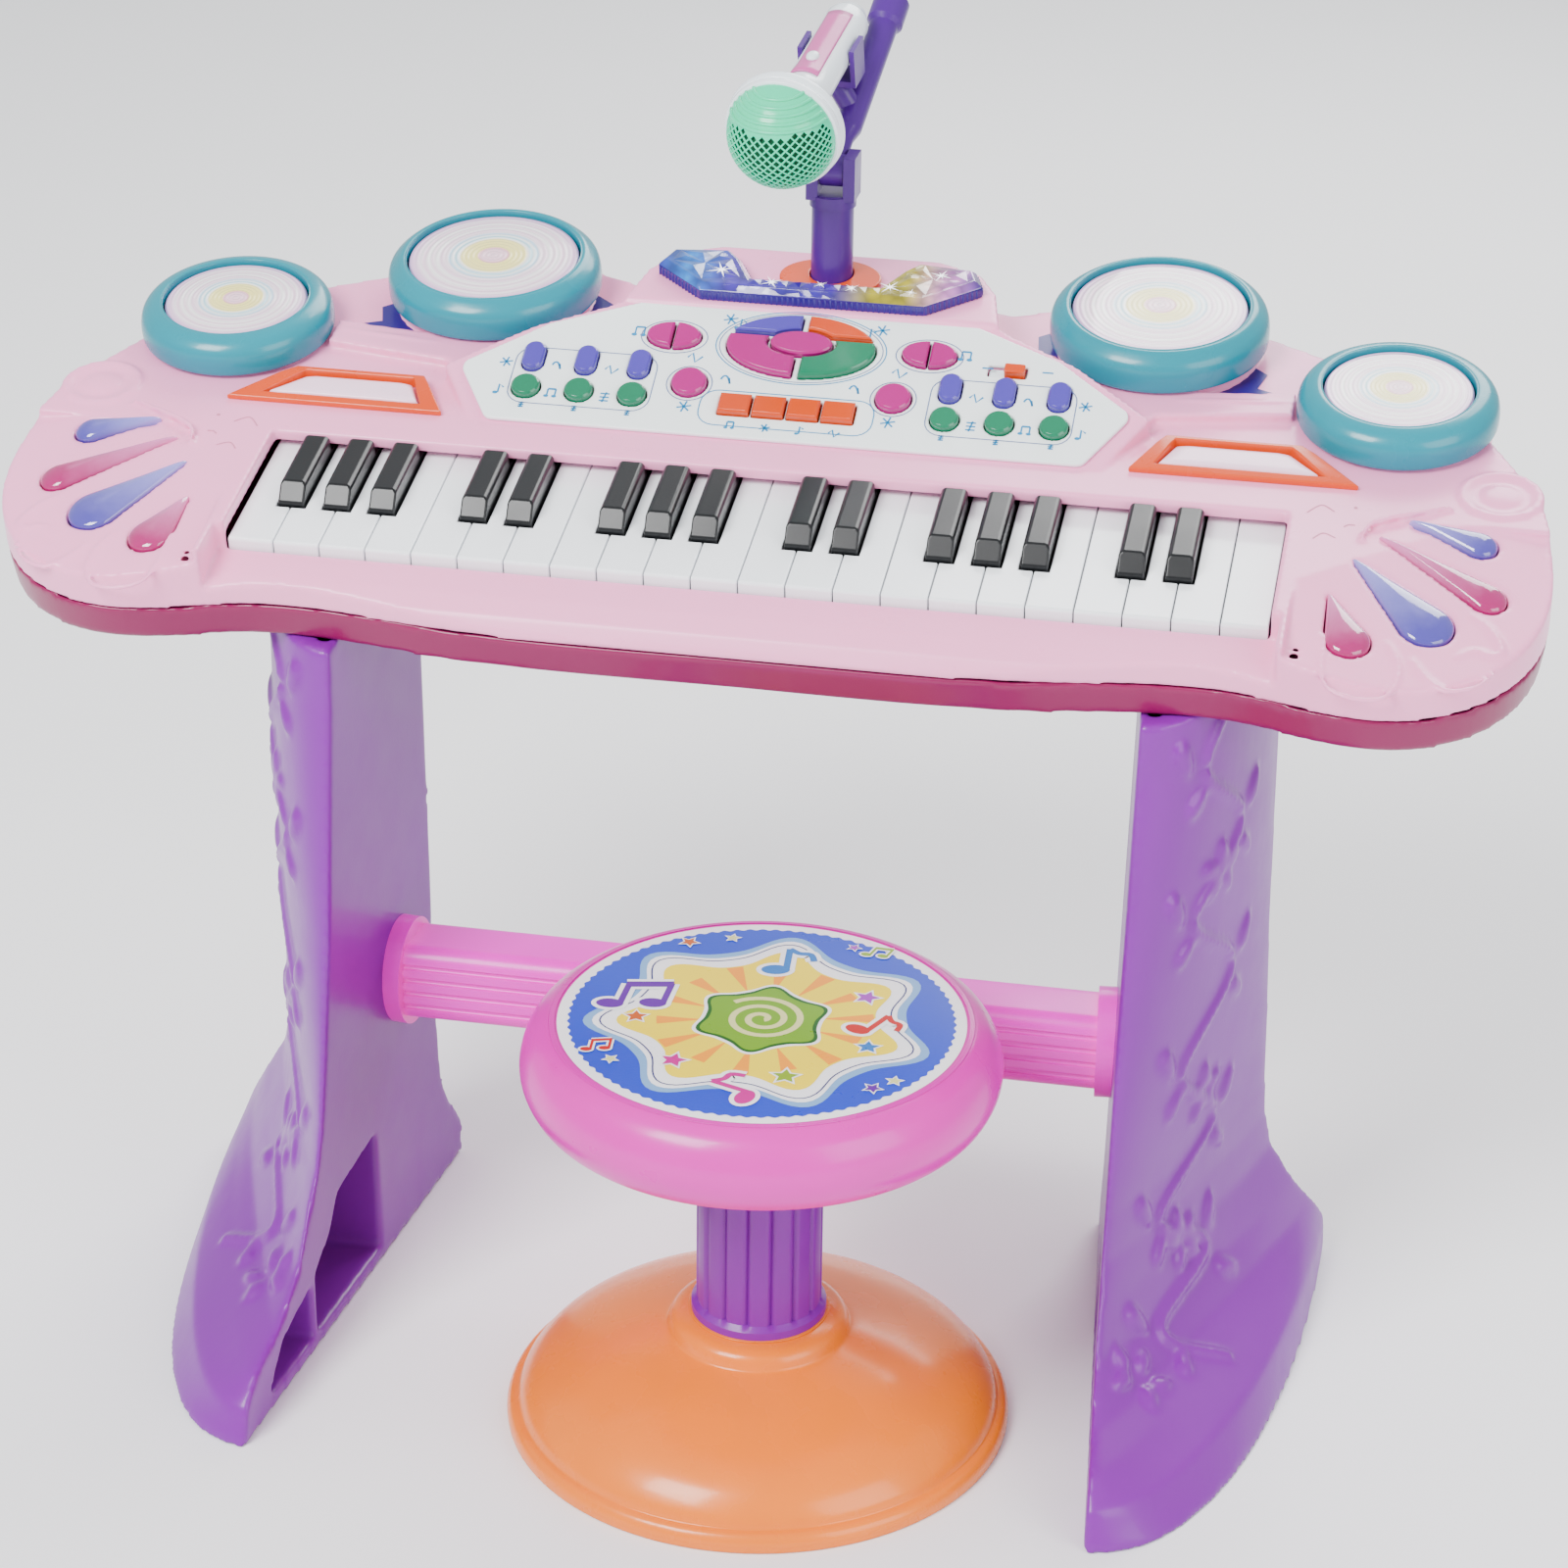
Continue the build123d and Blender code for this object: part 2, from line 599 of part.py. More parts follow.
# ---- write every node ----
def main():
    os.makedirs("parts", exist_ok=True)
    save("upper_shell", upper_shell())
    save("lower_shell", lower_shell())
    save("control_panel", control_panel())
    save("panel_buttons", panel_buttons())
    save("power_switch", power_switch())
    save("petal_buttons", petal_buttons())
    for index in range(WHITE_KEYS):
        save(f"white_key_{index + 1:02d}", white_key(index))
    for index in range(len(BLACK_AFTER)):
        save(f"black_key_{index + 1:02d}", black_key(index))
    save("drum_rims", [rim(name, side) for name in DRUMS for side in (-1, 1)])
    order = [("outer", -1), ("inner", -1), ("inner", 1), ("outer", 1)]
    for number, (name, side) in enumerate(order):
        save(f"drum_pad_{number + 1}", drum_pad(name, side))
    save("orange_trims", [frame_trim(1), frame_trim(-1), escutcheon()])
    save("light_bar", light_bar())
    save("mic_post", mic_post())
    save("mic_holder", mic_holder())
    save("microphone", microphone())
    right_leg = leg()
    save("leg_right", right_leg)
    save("leg_left", mirror(right_leg, about=Plane.YZ))
    save("crossbar", crossbar())
    save("stool_pedestal", stool_pedestal())
    save("stool_seat", stool_seat())
    save("electronics", electronics())
    save("screws", screws())


main()
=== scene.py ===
import bmesh
import bpy
import math
from mathutils import Matrix, Vector
from mathutils.bvhtree import BVHTree


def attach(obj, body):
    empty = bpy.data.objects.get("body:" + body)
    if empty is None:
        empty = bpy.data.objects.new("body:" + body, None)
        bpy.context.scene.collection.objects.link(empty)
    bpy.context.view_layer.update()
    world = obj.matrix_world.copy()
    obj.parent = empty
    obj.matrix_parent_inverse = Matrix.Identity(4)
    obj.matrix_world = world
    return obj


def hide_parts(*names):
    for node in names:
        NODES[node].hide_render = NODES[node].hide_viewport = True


# Toy electronic keyboard on two legs, with a clip-on microphone and a matching stool.
# Lengths are in millimetres in the code and become metres when a mesh is made.
# "Deck" is the frame of the key tops: u along the keys, v up the slope, w square to them.
# "Panel" is the face of the control panel; "lobe" is the sloping top of a side lobe.

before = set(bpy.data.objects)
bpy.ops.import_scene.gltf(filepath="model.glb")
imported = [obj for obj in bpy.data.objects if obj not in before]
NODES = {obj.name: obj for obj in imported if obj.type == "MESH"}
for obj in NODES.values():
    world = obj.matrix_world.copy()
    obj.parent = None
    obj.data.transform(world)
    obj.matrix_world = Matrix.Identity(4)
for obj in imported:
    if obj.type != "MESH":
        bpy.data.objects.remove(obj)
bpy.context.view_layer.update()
MM = 0.001

# ---- driving dimensions, the same as in the CAD ----
DECK_TILT, DECK_Y, DECK_Z = 11.3, -40.6, 322.6
DECK_W, SHELF_W, REAR_W = 8.0, 12.0, 29.5
PANEL_V, PANEL_SLOPE, PANEL_THICK = 84.5, 15.9, 2.0
DRUMS = {                 # name: (u, v, top w, lens radius, rim radius, bottom w of the rim)
    "outer": (237.6, 138.8, 23.0, 29.3, 39.6, 9.5),
    "inner": (138.5, 180.4, 27.7, 35.4, 44.2, 13.0),
}
CUP_U, CUP_V, CUP_W = 281.0, 90.3, 9.5
PETALS = (                # tip, round end, width: near the player to far
    ((221, 18), (234, -14), 17),
    ((227, 40), (266, 2), 21),
    ((235, 55), (286, 26), 14),
    ((246, 66), (281, 57), 13),
)
MIC_FRONT, MIC_TAIL = Vector((-9, 88, 460)), Vector((1, 183, 483))
STOOL_X, STOOL_Y, SEAT_Z, SEAT_R, SEAT_THICK, BASE_R = 25.0, -109.5, 174.0, 92.0, 36.0, 99.0


# ---- frames ----
def shift(x, y, z):
    return Matrix.Translation(Vector((x, y, z)) * MM)


def spin(angle, axis):
    return Matrix.Rotation(math.radians(angle), 4, axis)


def axes(origin, x_dir, z_dir):
    """A frame at origin with z along z_dir and x as near x_dir as it can be."""
    z = Vector(z_dir).normalized()
    x = Vector(x_dir)
    x = (x - z * x.dot(z)).normalized()
    turn = Matrix((x, z.cross(x), z)).transposed().to_4x4()
    return shift(*origin) @ turn


DECK = shift(0, DECK_Y, DECK_Z) @ spin(DECK_TILT, "X")
PANEL = DECK @ shift(0, PANEL_V, DECK_W) @ spin(PANEL_SLOPE, "X")
LOBE = DECK @ axes((255, 20, 2.6), (1, 0, -0.11), (0.11, -0.14, 1))
FLIP = Matrix.Scale(-1, 4, (1, 0, 0))
MIC = axes(MIC_FRONT, Vector((0, 0, 1)).cross(MIC_TAIL - MIC_FRONT), MIC_TAIL - MIC_FRONT)
STOOL = shift(STOOL_X, STOOL_Y, 0)


# ---- materials ----
def srgb(code):
    """A colour from its usual hexadecimal code, as linear values."""
    values = [int(code[i:i + 2], 16) / 255 for i in (0, 2, 4)]
    return [v / 12.92 if v < 0.04045 else ((v + 0.055) / 1.055) ** 2.4 for v in values] + [1]


def new_material(name):
    material = bpy.data.materials.new(name)
    material.use_nodes = True
    nodes = material.node_tree.nodes
    return material, nodes, material.node_tree.links.new, nodes["Principled BSDF"]


def noise(nodes, link, source, scale, detail=2.0):
    texture = nodes.new("ShaderNodeTexNoise")
    texture.inputs["Scale"].default_value = scale
    texture.inputs["Detail"].default_value = detail
    link(source, texture.inputs["Vector"])
    return texture.outputs["Fac"]


def ramp(nodes, link, source, stops):
    """A colour ramp from (position, colour) stops."""
    node = nodes.new("ShaderNodeValToRGB")
    while len(node.color_ramp.elements) < len(stops):
        node.color_ramp.elements.new(0.5)
    for element, (position, colour) in zip(node.color_ramp.elements, stops):
        element.position = position
        element.color = colour
    link(source, node.inputs["Fac"])
    return node.outputs["Color"]


def tone(colour, factor):
    return [min(1.0, c * factor) for c in colour[:3]] + [1]


def maths(nodes, link, operation, a, b):
    node = nodes.new("ShaderNodeMath")
    node.operation = operation
    for socket, value in zip(node.inputs, (a, b)):
        if isinstance(value, (int, float)):
            socket.default_value = value
        else:
            link(value, socket)
    return node.outputs[0]


def bump(nodes, link, shader, height, distance, strength=1.0):
    node = nodes.new("ShaderNodeBump")
    node.inputs["Distance"].default_value = distance * MM
    node.inputs["Strength"].default_value = strength
    link(height, node.inputs["Height"])
    link(node.outputs["Normal"], shader.inputs["Normal"])


def plastic(name, code, rough=0.28, coat=0.35, grain=0.03, soft=0.0, spread=0.05):
    """Moulded plastic: flow shading in the colour, uneven gloss and a fine orange-peel skin."""
    material, nodes, link, shader = new_material(name)
    colour = srgb(code)
    here = nodes.new("ShaderNodeTexCoord").outputs["Object"]
    flow = noise(nodes, link, here, 14, 3)
    link(ramp(nodes, link, flow, [(0.3, tone(colour, 1 - spread)), (0.7, tone(colour, 1 + spread))]),
         shader.inputs["Base Color"])
    smears = noise(nodes, link, here, 55, 4)
    link(maths(nodes, link, "MULTIPLY_ADD", smears, 0.16), shader.inputs["Roughness"])
    shader.inputs["Roughness"].links[0].from_node.inputs[2].default_value = rough - 0.08
    skin = noise(nodes, link, here, 900, 2)
    bump(nodes, link, shader, skin, grain)
    shader.inputs["Coat Weight"].default_value = coat * 0.5
    shader.inputs["Coat Roughness"].default_value = 0.12
    shader.inputs["Specular IOR Level"].default_value = 0.35
    shader.inputs["Subsurface Weight"].default_value = soft
    shader.inputs["Subsurface Radius"].default_value = (0.004, 0.002, 0.002)
    shader.inputs["Subsurface Scale"].default_value = 1.0
    return material


def gel(name, light, deep):
    """Clear tinted plastic, paler at the pointed end, with a glow from within."""
    material, nodes, link, shader = new_material(name)
    uv = nodes.new("ShaderNodeSeparateXYZ")
    link(nodes.new("ShaderNodeUVMap").outputs["UV"], uv.inputs[0])
    here = nodes.new("ShaderNodeTexCoord").outputs["Object"]
    cloudy = noise(nodes, link, here, 120, 3)
    along = maths(nodes, link, "MULTIPLY_ADD", cloudy, 0.25)
    link(uv.outputs["X"], along.node.inputs[2])
    link(ramp(nodes, link, along, [(0.2, srgb(light)), (1.05, srgb(deep))]), shader.inputs["Base Color"])
    link(maths(nodes, link, "MULTIPLY", cloudy, 0.2), shader.inputs["Roughness"])
    bump(nodes, link, shader, noise(nodes, link, here, 500, 2), 0.03)
    shader.inputs["Coat Weight"].default_value = 1.0
    shader.inputs["Coat Roughness"].default_value = 0.04
    shader.inputs["Subsurface Weight"].default_value = 0.25
    shader.inputs["Subsurface Radius"].default_value = (0.006, 0.004, 0.006)
    shader.inputs["Subsurface Scale"].default_value = 1.0
    return material


def lens_material(name, stops, rings):
    """A clear disc over printed rings, with fine moulded ripples. Radius runs along U."""
    material, nodes, link, shader = new_material(name)
    uv = nodes.new("ShaderNodeSeparateXYZ")
    link(nodes.new("ShaderNodeUVMap").outputs["UV"], uv.inputs[0])
    here = nodes.new("ShaderNodeTexCoord").outputs["Object"]
    wobble = maths(nodes, link, "MULTIPLY", noise(nodes, link, here, 60, 3), 0.03)
    radius = maths(nodes, link, "ADD", uv.outputs["X"], wobble)
    link(ramp(nodes, link, radius, [(p, srgb(c)) for p, c in stops]), shader.inputs["Base Color"])
    ripple = maths(nodes, link, "SINE", maths(nodes, link, "MULTIPLY", uv.outputs["X"],
                                              rings * 2 * math.pi), 0)
    bump(nodes, link, shader, ripple, 0.12)
    link(maths(nodes, link, "MULTIPLY", noise(nodes, link, here, 200, 2), 0.3), shader.inputs["Roughness"])
    shader.inputs["Coat Weight"].default_value = 1.0
    shader.inputs["Coat Roughness"].default_value = 0.05
    return material


def jewel_material(name, stops, glow):
    """Faceted clear plastic lit from inside by coloured lamps spread along X."""
    material, nodes, link, shader = new_material(name)
    here = nodes.new("ShaderNodeTexCoord").outputs["Object"]
    place = nodes.new("ShaderNodeSeparateXYZ")
    link(here, place.inputs[0])
    facets = nodes.new("ShaderNodeTexVoronoi")
    facets.inputs["Scale"].default_value = 170
    link(here, facets.inputs["Vector"])
    across = maths(nodes, link, "MULTIPLY_ADD", place.outputs["X"], 1 / 0.134)
    across.node.inputs[2].default_value = 0.5
    tint = ramp(nodes, link, across, [(p, srgb(c)) for p, c in stops])
    shade = nodes.new("ShaderNodeMix")
    shade.data_type = "RGBA"
    shade.blend_type = "MULTIPLY"
    shade.inputs["Factor"].default_value = 0.75
    link(tint, shade.inputs["A"])
    sparkle = ramp(nodes, link, facets.outputs["Distance"],
                   [(0.0, srgb("FFFFFF")), (0.25, srgb("C8C0F0")), (0.8, srgb("4A3A90"))])
    link(sparkle, shade.inputs["B"])
    link(shade.outputs["Result"], shader.inputs["Base Color"])
    link(shade.outputs["Result"], shader.inputs["Emission Color"])
    shader.inputs["Emission Strength"].default_value = glow
    shader.inputs["Roughness"].default_value = 0.08
    shader.inputs["Coat Weight"].default_value = 1.0
    shader.inputs["Coat Roughness"].default_value = 0.03
    bump(nodes, link, shader, facets.outputs["Distance"], 0.5)
    return material



PAINT = {
    "shell": plastic("shell_pink", "FF9ECC", rough=0.3, coat=0.3, soft=0.08, spread=0.02),
    "shell_light": plastic("shell_inset", "FFD6ED", rough=0.26, coat=0.4, soft=0.08, spread=0.02),
    "magenta": plastic("shell_magenta", "7E0048", rough=0.32, coat=0.35),
    "panel": plastic("panel_white", "F2F9F9", rough=0.2, coat=0.7, spread=0.01),
    "white_key": plastic("key_white", "F7FAFE", rough=0.2, coat=0.6, spread=0.01, grain=0.015),
    "black_key": plastic("key_black", "090B0E", rough=0.34, coat=0.3, spread=0.1, grain=0.015),
    "teal": plastic("rim_teal", "008494", rough=0.26, coat=0.5, soft=0.05),
    "orange": plastic("trim_orange", "D44400", rough=0.28, coat=0.5),
    "leg": plastic("leg_purple", "780096", rough=0.38, coat=0.3, soft=0.05, spread=0.04),
    "bar": plastic("bar_pink", "FA00D4", rough=0.34, coat=0.35, soft=0.05),
    "seat": plastic("seat_pink", "D900AA", rough=0.3, coat=0.4, soft=0.08),
    "base": plastic("stool_base_orange", "EC7600", rough=0.27, coat=0.5, soft=0.05),
    "violet": plastic("post_violet", "46107A", rough=0.36, coat=0.35),
    "inset": plastic("inset_purple", "2A1478", rough=0.35, coat=0.3),
    "mic_white": plastic("mic_body", "EBF4F9", rough=0.22, coat=0.6, spread=0.015),
    "mic_pink": plastic("mic_inlay", "C9589D", rough=0.3, coat=0.4),
    "mint": plastic("grille_mint", "00D79F", rough=0.25, coat=0.6, soft=0.1),
    # A matte, darker copy of the mint, used as painted shade inside the ball, seen through the holes of the net.
    "deep_green": plastic("grille_inside", "00623D", rough=0.6, coat=0.0),
    "button_green": plastic("button_green", "00724F", rough=0.18, coat=0.8, soft=0.1),
    "button_blue": plastic("button_blue", "4938A3", rough=0.18, coat=0.8, soft=0.1),
    "button_pink": plastic("button_pink", "A50072", rough=0.18, coat=0.8, soft=0.1),
    "button_orange": plastic("button_orange", "CC4000", rough=0.2, coat=0.7, soft=0.05),
    "print_cyan": plastic("print_cyan", "0A7EB4", rough=0.4, coat=0.2),
    "print_grey": plastic("print_outline", "5A6C9C", rough=0.4, coat=0.2),
    # A darker copy of the shell pink, used as painted shade for the small engraved marks on the lobes.
    "line_rose": plastic("line_rose", "CD7D9A", rough=0.5, coat=0.0),
    "gel_pink": gel("gel_pink", "D87EB2", "A20063"),
    "gel_violet": gel("gel_violet", "908CD7", "463CA0"),
    "side_dark": plastic("lamp_side", "2A1373", rough=0.15, coat=1.0, grain=0.1, spread=0.2),
    "circuit": plastic("circuit", "008400", rough=0.5, coat=0.1),
    "steel": plastic("screw_steel", "9C9CA3", rough=0.3, coat=0.0),
}
RING_STOPS = [(0.0, "F7D2E2"), (0.16, "F9C9DC"), (0.19, "EFA9B8"), (0.21, "FBF08E"), (0.39, "F8EC96"),
              (0.42, "FFFFFF"), (0.46, "9ED8EA"), (0.49, "FFFFFF"), (0.53, "A8D4EE"), (0.56, "FBEAF4"),
              (0.63, "F0CFE6"), (0.67, "FFFFFF"), (0.73, "F1D3E6"), (0.77, "FFFFFF"), (0.83, "EFC8E2"),
              (0.87, "FBEFF8"), (0.93, "EAC2E4"), (1.0, "D9A9DE")]
PAINT["lens"] = lens_material("lens_rings", RING_STOPS, 17)
PAINT["jewel"] = jewel_material("jewel", [(0.0, "1F2398"), (0.1, "0083C4"), (0.24, "4728A1"), (0.42,
                                                                                               "362099"),
                                          (0.56, "492899"), (0.68, "B8B000"), (0.78, "C1B900"),
                                          (0.9, "DD8EBA"), (1.0, "592A9E")], 0.5)


def painted_glint_material():
    """Painted glint: white light emitted by the surface itself, standing in for the sparkle of a lamp behind clear
    plastic.
    """
    material, nodes, link, shader = new_material("lamp_glint")
    here = nodes.new("ShaderNodeTexCoord").outputs["Object"]
    flicker = noise(nodes, link, here, 200, 2)
    link(ramp(nodes, link, flicker, [(0.2, srgb("E8F0FF")), (0.8, srgb("FFFFFF"))]),
         shader.inputs["Emission Color"])
    shader.inputs["Emission Strength"].default_value = 2.0
    return material


# The glint paint is a painted highlight that glows by itself.
PAINT["glint"] = painted_glint_material()
for decal_name, decal_code in (("decal_white", "F9F9FD"), ("decal_blue", "173DC5"), ("decal_sky", "78A7D6"),
                               ("decal_yellow", "FFE000"), ("decal_amber", "FF9A00"),
                               ("decal_green", "6CA100"), ("decal_dark", "005700"), ("decal_cream", "D8D890"),
                               ("decal_purple", "5D0096"), ("decal_red", "C10000"), ("decal_rose", "C40089"),
                               ("decal_lilac", "A021B8"), ("decal_azure", "006DBD"), ("decal_lime", "84A700"),
                               ("decal_orange", "C45600"), ("decal_navy", "171E69")):
    PAINT[decal_name] = plastic(decal_name, decal_code, rough=0.3, coat=0.6, spread=0.06)


# ---- mesh making ----
def add_object(name, mesh, body):
    piece = bpy.data.objects.new(name, mesh)
    bpy.context.scene.collection.objects.link(piece)
    for polygon in mesh.polygons:
        polygon.use_smooth = True
    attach(piece, body)
    return piece


def build(name, verts, faces, place, paints, body="root", paint_index=None, uvs=None,
          sharp=None):
    """A mesh piece from millimetre points in the frame called place."""
    mesh = bpy.data.meshes.new(name)
    mesh.from_pydata([place @ (Vector(v) * MM) for v in verts], [], faces)
    for paint in paints if isinstance(paints, list) else [paints]:
        mesh.materials.append(PAINT[paint])
    if paint_index:
        mesh.polygons.foreach_set("material_index", paint_index)
    if uvs:
        layer = mesh.uv_layers.new(name="UVMap")
        for loop in mesh.loops:
            layer.data[loop.index].uv = uvs[loop.vertex_index]
    if place.determinant() < 0:
        mesh.flip_normals()
    mesh.update()
    if sharp:
        mesh.set_sharp_from_angle(angle=math.radians(sharp))
    return add_object(name, mesh, body)


def smooth_line(points, per_span=6, closed=False):
    """A curve through the points. A point given twice in a row makes a corner."""
    points = [Vector(p) for p in points]
    count = len(points)
    line = []
    for i in range(count if closed else count - 1):
        a, b, c, d = [points[j % count] if closed else points[min(max(j, 0),
                                                                  count - 1)] for j in range(i - 1, i + 3)]
        if (b - c).length < 1e-6:
            continue
        for step in range(per_span):
            t = step / per_span
            line.append(0.5 * (2 * b + (c - a) * t + (2 * a - 5 * b + 4 * c - d) * t * t
                               + (3 * b - a - 3 * c + d) * t ** 3))
    return line if closed else line + [points[-1]]


def lathe(name, profile, place, paints, body, steps=96, radius=None, per_span=6):
    """A turned piece. profile is (radius, height); U is the radius as a part of the given radius."""
    line = smooth_line([(r, z) for r, z in profile], per_span)
    reach = radius or max(p[0] for p in line)
    verts, uvs, faces = [], [], []
    for ring, (r, z) in enumerate(line):
        for step in range(steps):
            angle = 2 * math.pi * step / steps
            verts.append((max(r, 0.0) * math.cos(angle), max(r, 0.0) * math.sin(angle), z))
            uvs.append((r / reach, step / steps))
            if ring:
                low, high = (ring - 1) * steps, ring * steps
                following = (step + 1) % steps
                faces.append((low + step, low + following, high + following, high + step))
    piece = build(name, verts, faces, place, paints, body, uvs=uvs)
    weld(piece.data)
    return piece


def weld(mesh, distance=1e-6):
    work = bmesh.new()
    work.from_mesh(mesh)
    bmesh.ops.remove_doubles(work, verts=work.verts, dist=distance)
    bmesh.ops.recalc_face_normals(work, faces=work.faces)
    work.to_mesh(mesh)
    work.free()


def node_mesh(node, flat=True):
    """A clean copy of a CAD node's mesh. flat joins the triangles of each flat face."""
    mesh = bpy.data.meshes.new(node + "_copy")
    work = bmesh.new()
    work.from_mesh(NODES[node].data)
    bmesh.ops.remove_doubles(work, verts=work.verts, dist=2e-6)
    if flat:
        bmesh.ops.dissolve_limit(work, angle_limit=math.radians(1), verts=work.verts, edges=work.edges)
    work.to_mesh(mesh)
    work.free()
    for name in ("custom_normal", "sharp_edge"):
        if name in mesh.attributes:
            mesh.attributes.remove(mesh.attributes[name])
    mesh.materials.clear()
    return mesh


def bevelled(node, paint, body, width=0.6, segments=3):
    """A CAD node with its edges rounded as a mould leaves them."""
    mesh = node_mesh(node)
    mesh.materials.append(PAINT[paint])
    piece = add_object(node + "_round", mesh, body)
    edge = piece.modifiers.new("edges", "BEVEL")
    edge.width = width * MM
    edge.segments = segments
    edge.angle_limit = math.radians(25)
    edge.harden_normals = True
    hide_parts(node)
    return piece


def applied(piece):
    """Makes a piece's modifiers permanent."""
    graph = bpy.context.evaluated_depsgraph_get()
    mesh = bpy.data.meshes.new_from_object(piece.evaluated_get(graph))
    piece.modifiers.clear()
    piece.data = mesh
    return mesh


def moulded(node, paint, body, voxel, passes, extras=()):
    """A CAD node and its raised ornament cast as one soft-edged moulding."""
    mesh = node_mesh(node, flat=False)
    work = bmesh.new()
    work.from_mesh(mesh)
    for extra in extras:
        work.from_mesh(extra.data)
        bpy.data.objects.remove(extra)
    bmesh.ops.triangulate(work, faces=work.faces)
    work.to_mesh(mesh)
    work.free()
    mesh.materials.clear()
    mesh.materials.append(PAINT[paint])
    piece = add_object(node + "_moulded", mesh, body)
    remesh = piece.modifiers.new("cast", "REMESH")
    remesh.mode = "VOXEL"
    remesh.voxel_size = voxel * MM
    soften = piece.modifiers.new("soften", "SMOOTH")
    soften.iterations = passes
    shape = applied(piece)
    for polygon in shape.polygons:
        polygon.use_smooth = True
    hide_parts(node)
    return piece


def tube(name, points, radius, place, taper=False, paint="shell", body="root",
         sides=10, flat=1.0):
    """A round bar along a line in the frame called place."""
    line = [Vector(p) for p in points]
    verts, faces = [], []
    for i, p in enumerate(line):
        ahead = (line[min(i + 1, len(line) - 1)] - line[max(i - 1, 0)]).normalized()
        side = ahead.cross(Vector((0, 0, 1))).normalized()
        top = side.cross(ahead)
        end = math.sin(math.pi * (i + 0.5) / len(line)) if taper else 1.0
        for step in range(sides):
            angle = 2 * math.pi * step / sides
            out = side * math.cos(angle) + top * math.sin(angle) * flat
            verts.append(p + out * radius * (0.35 + 0.65 * end))
            if i:
                low, high, following = (i - 1) * sides, i * sides, (step + 1) % sides
                faces.append((low + step, low + following, high + following, high + step))
    faces.append(tuple(range(sides))[::-1])
    faces.append(tuple(range((len(line) - 1) * sides, len(line) * sides)))
    return build(name, verts, faces, place, paint, body)


def ribbon_shape(points, width, height, closed=False):
    """Vertices and faces of a flat printed line."""
    line = [Vector((p[0], p[1])) for p in points]
    count = len(line)
    verts, faces = [], []
    for i, p in enumerate(line):
        before = line[(i - 1) % count] if closed or i else p
        after = line[(i + 1) % count] if closed or i < count - 1 else p
        ahead = (after - before).normalized()
        side = Vector((-ahead.y, ahead.x)) * width / 2
        verts += [(p.x + side.x, p.y + side.y, height), (p.x - side.x, p.y - side.y, height)]
    for i in range(count if closed else count - 1):
        a, b = 2 * i, 2 * ((i + 1) % count)
        faces.append((a, a + 1, b + 1, b))
    return verts, faces


class Print:
    """Flat printed shapes on one surface, gathered into one piece."""

    def __init__(self):
        self.verts = []
        self.faces = []
        self.paints = []
        self.index = []
        self.uvs = []

    def add(self, verts, faces, paint, uvs=None):
        if paint not in self.paints:
            self.paints.append(paint)
        start = len(self.verts)
        self.verts += verts
        self.faces += [tuple(start + i for i in face) for face in faces]
        self.index += [self.paints.index(paint)] * len(faces)
        self.uvs += uvs or [(0.5, 0.5)] * len(verts)

    def line(self, points, width, paint, height=0.08, closed=False):
        self.add(*ribbon_shape(points, width, height, closed), paint)

    def patch(self, points, paint, height, centre=(0, 0), reach=None):
        """A filled outline that is star-shaped about its centre."""
        count = len(points)
        size = reach or max((Vector(p) - Vector(centre)).length for p in points)
        verts = [(centre[0], centre[1], height)] + [(p[0], p[1], height) for p in points]
        uvs = [(0.0, 0.0)]
        for i, p in enumerate(points):
            uvs.append(((Vector(p) - Vector(centre)).length / size, i / count))
        faces = [(0, i + 1, (i + 1) % count + 1) for i in range(count)]
        self.add(verts, faces, paint, uvs)

    def make(self, name, place, body="root"):
        return build(name, self.verts, self.faces, place, self.paints, body, self.index, self.uvs)


def circle(x, y, rx, ry=None, start=0.0, end=360.0, count=32):
    """Points round an ellipse. A whole turn leaves out the repeated last point."""
    ry = rx if ry is None else ry
    whole = abs(end - start) >= 360
    spans = count if whole else count - 1
    angles = [math.radians(start + (end - start) * i / spans) for i in range(count)]
    return [(x + rx * math.cos(a), y + ry * math.sin(a)) for a in angles]


def star(x, y, outer, inner, points=5, turn=90.0):
    """Corners of a star."""
    corners = []
    for i in range(2 * points):
        r = inner if i % 2 else outer
        angle = math.radians(turn + 180 * i / points)
        corners.append((x + r * math.cos(angle), y + r * math.sin(angle)))
    return corners


def round_box(x0, x1, y0, y1, r, count=6):
    """A rectangle with round corners."""
    corners = [(x1 - r, y1 - r, 0), (x0 + r, y1 - r, 90), (x0 + r, y0 + r, 180), (x1 - r, y0 + r, 270)]
    points = []
    for x, y, start in corners:
        points += circle(x, y, r, r, start, start + 90, count)
    return points


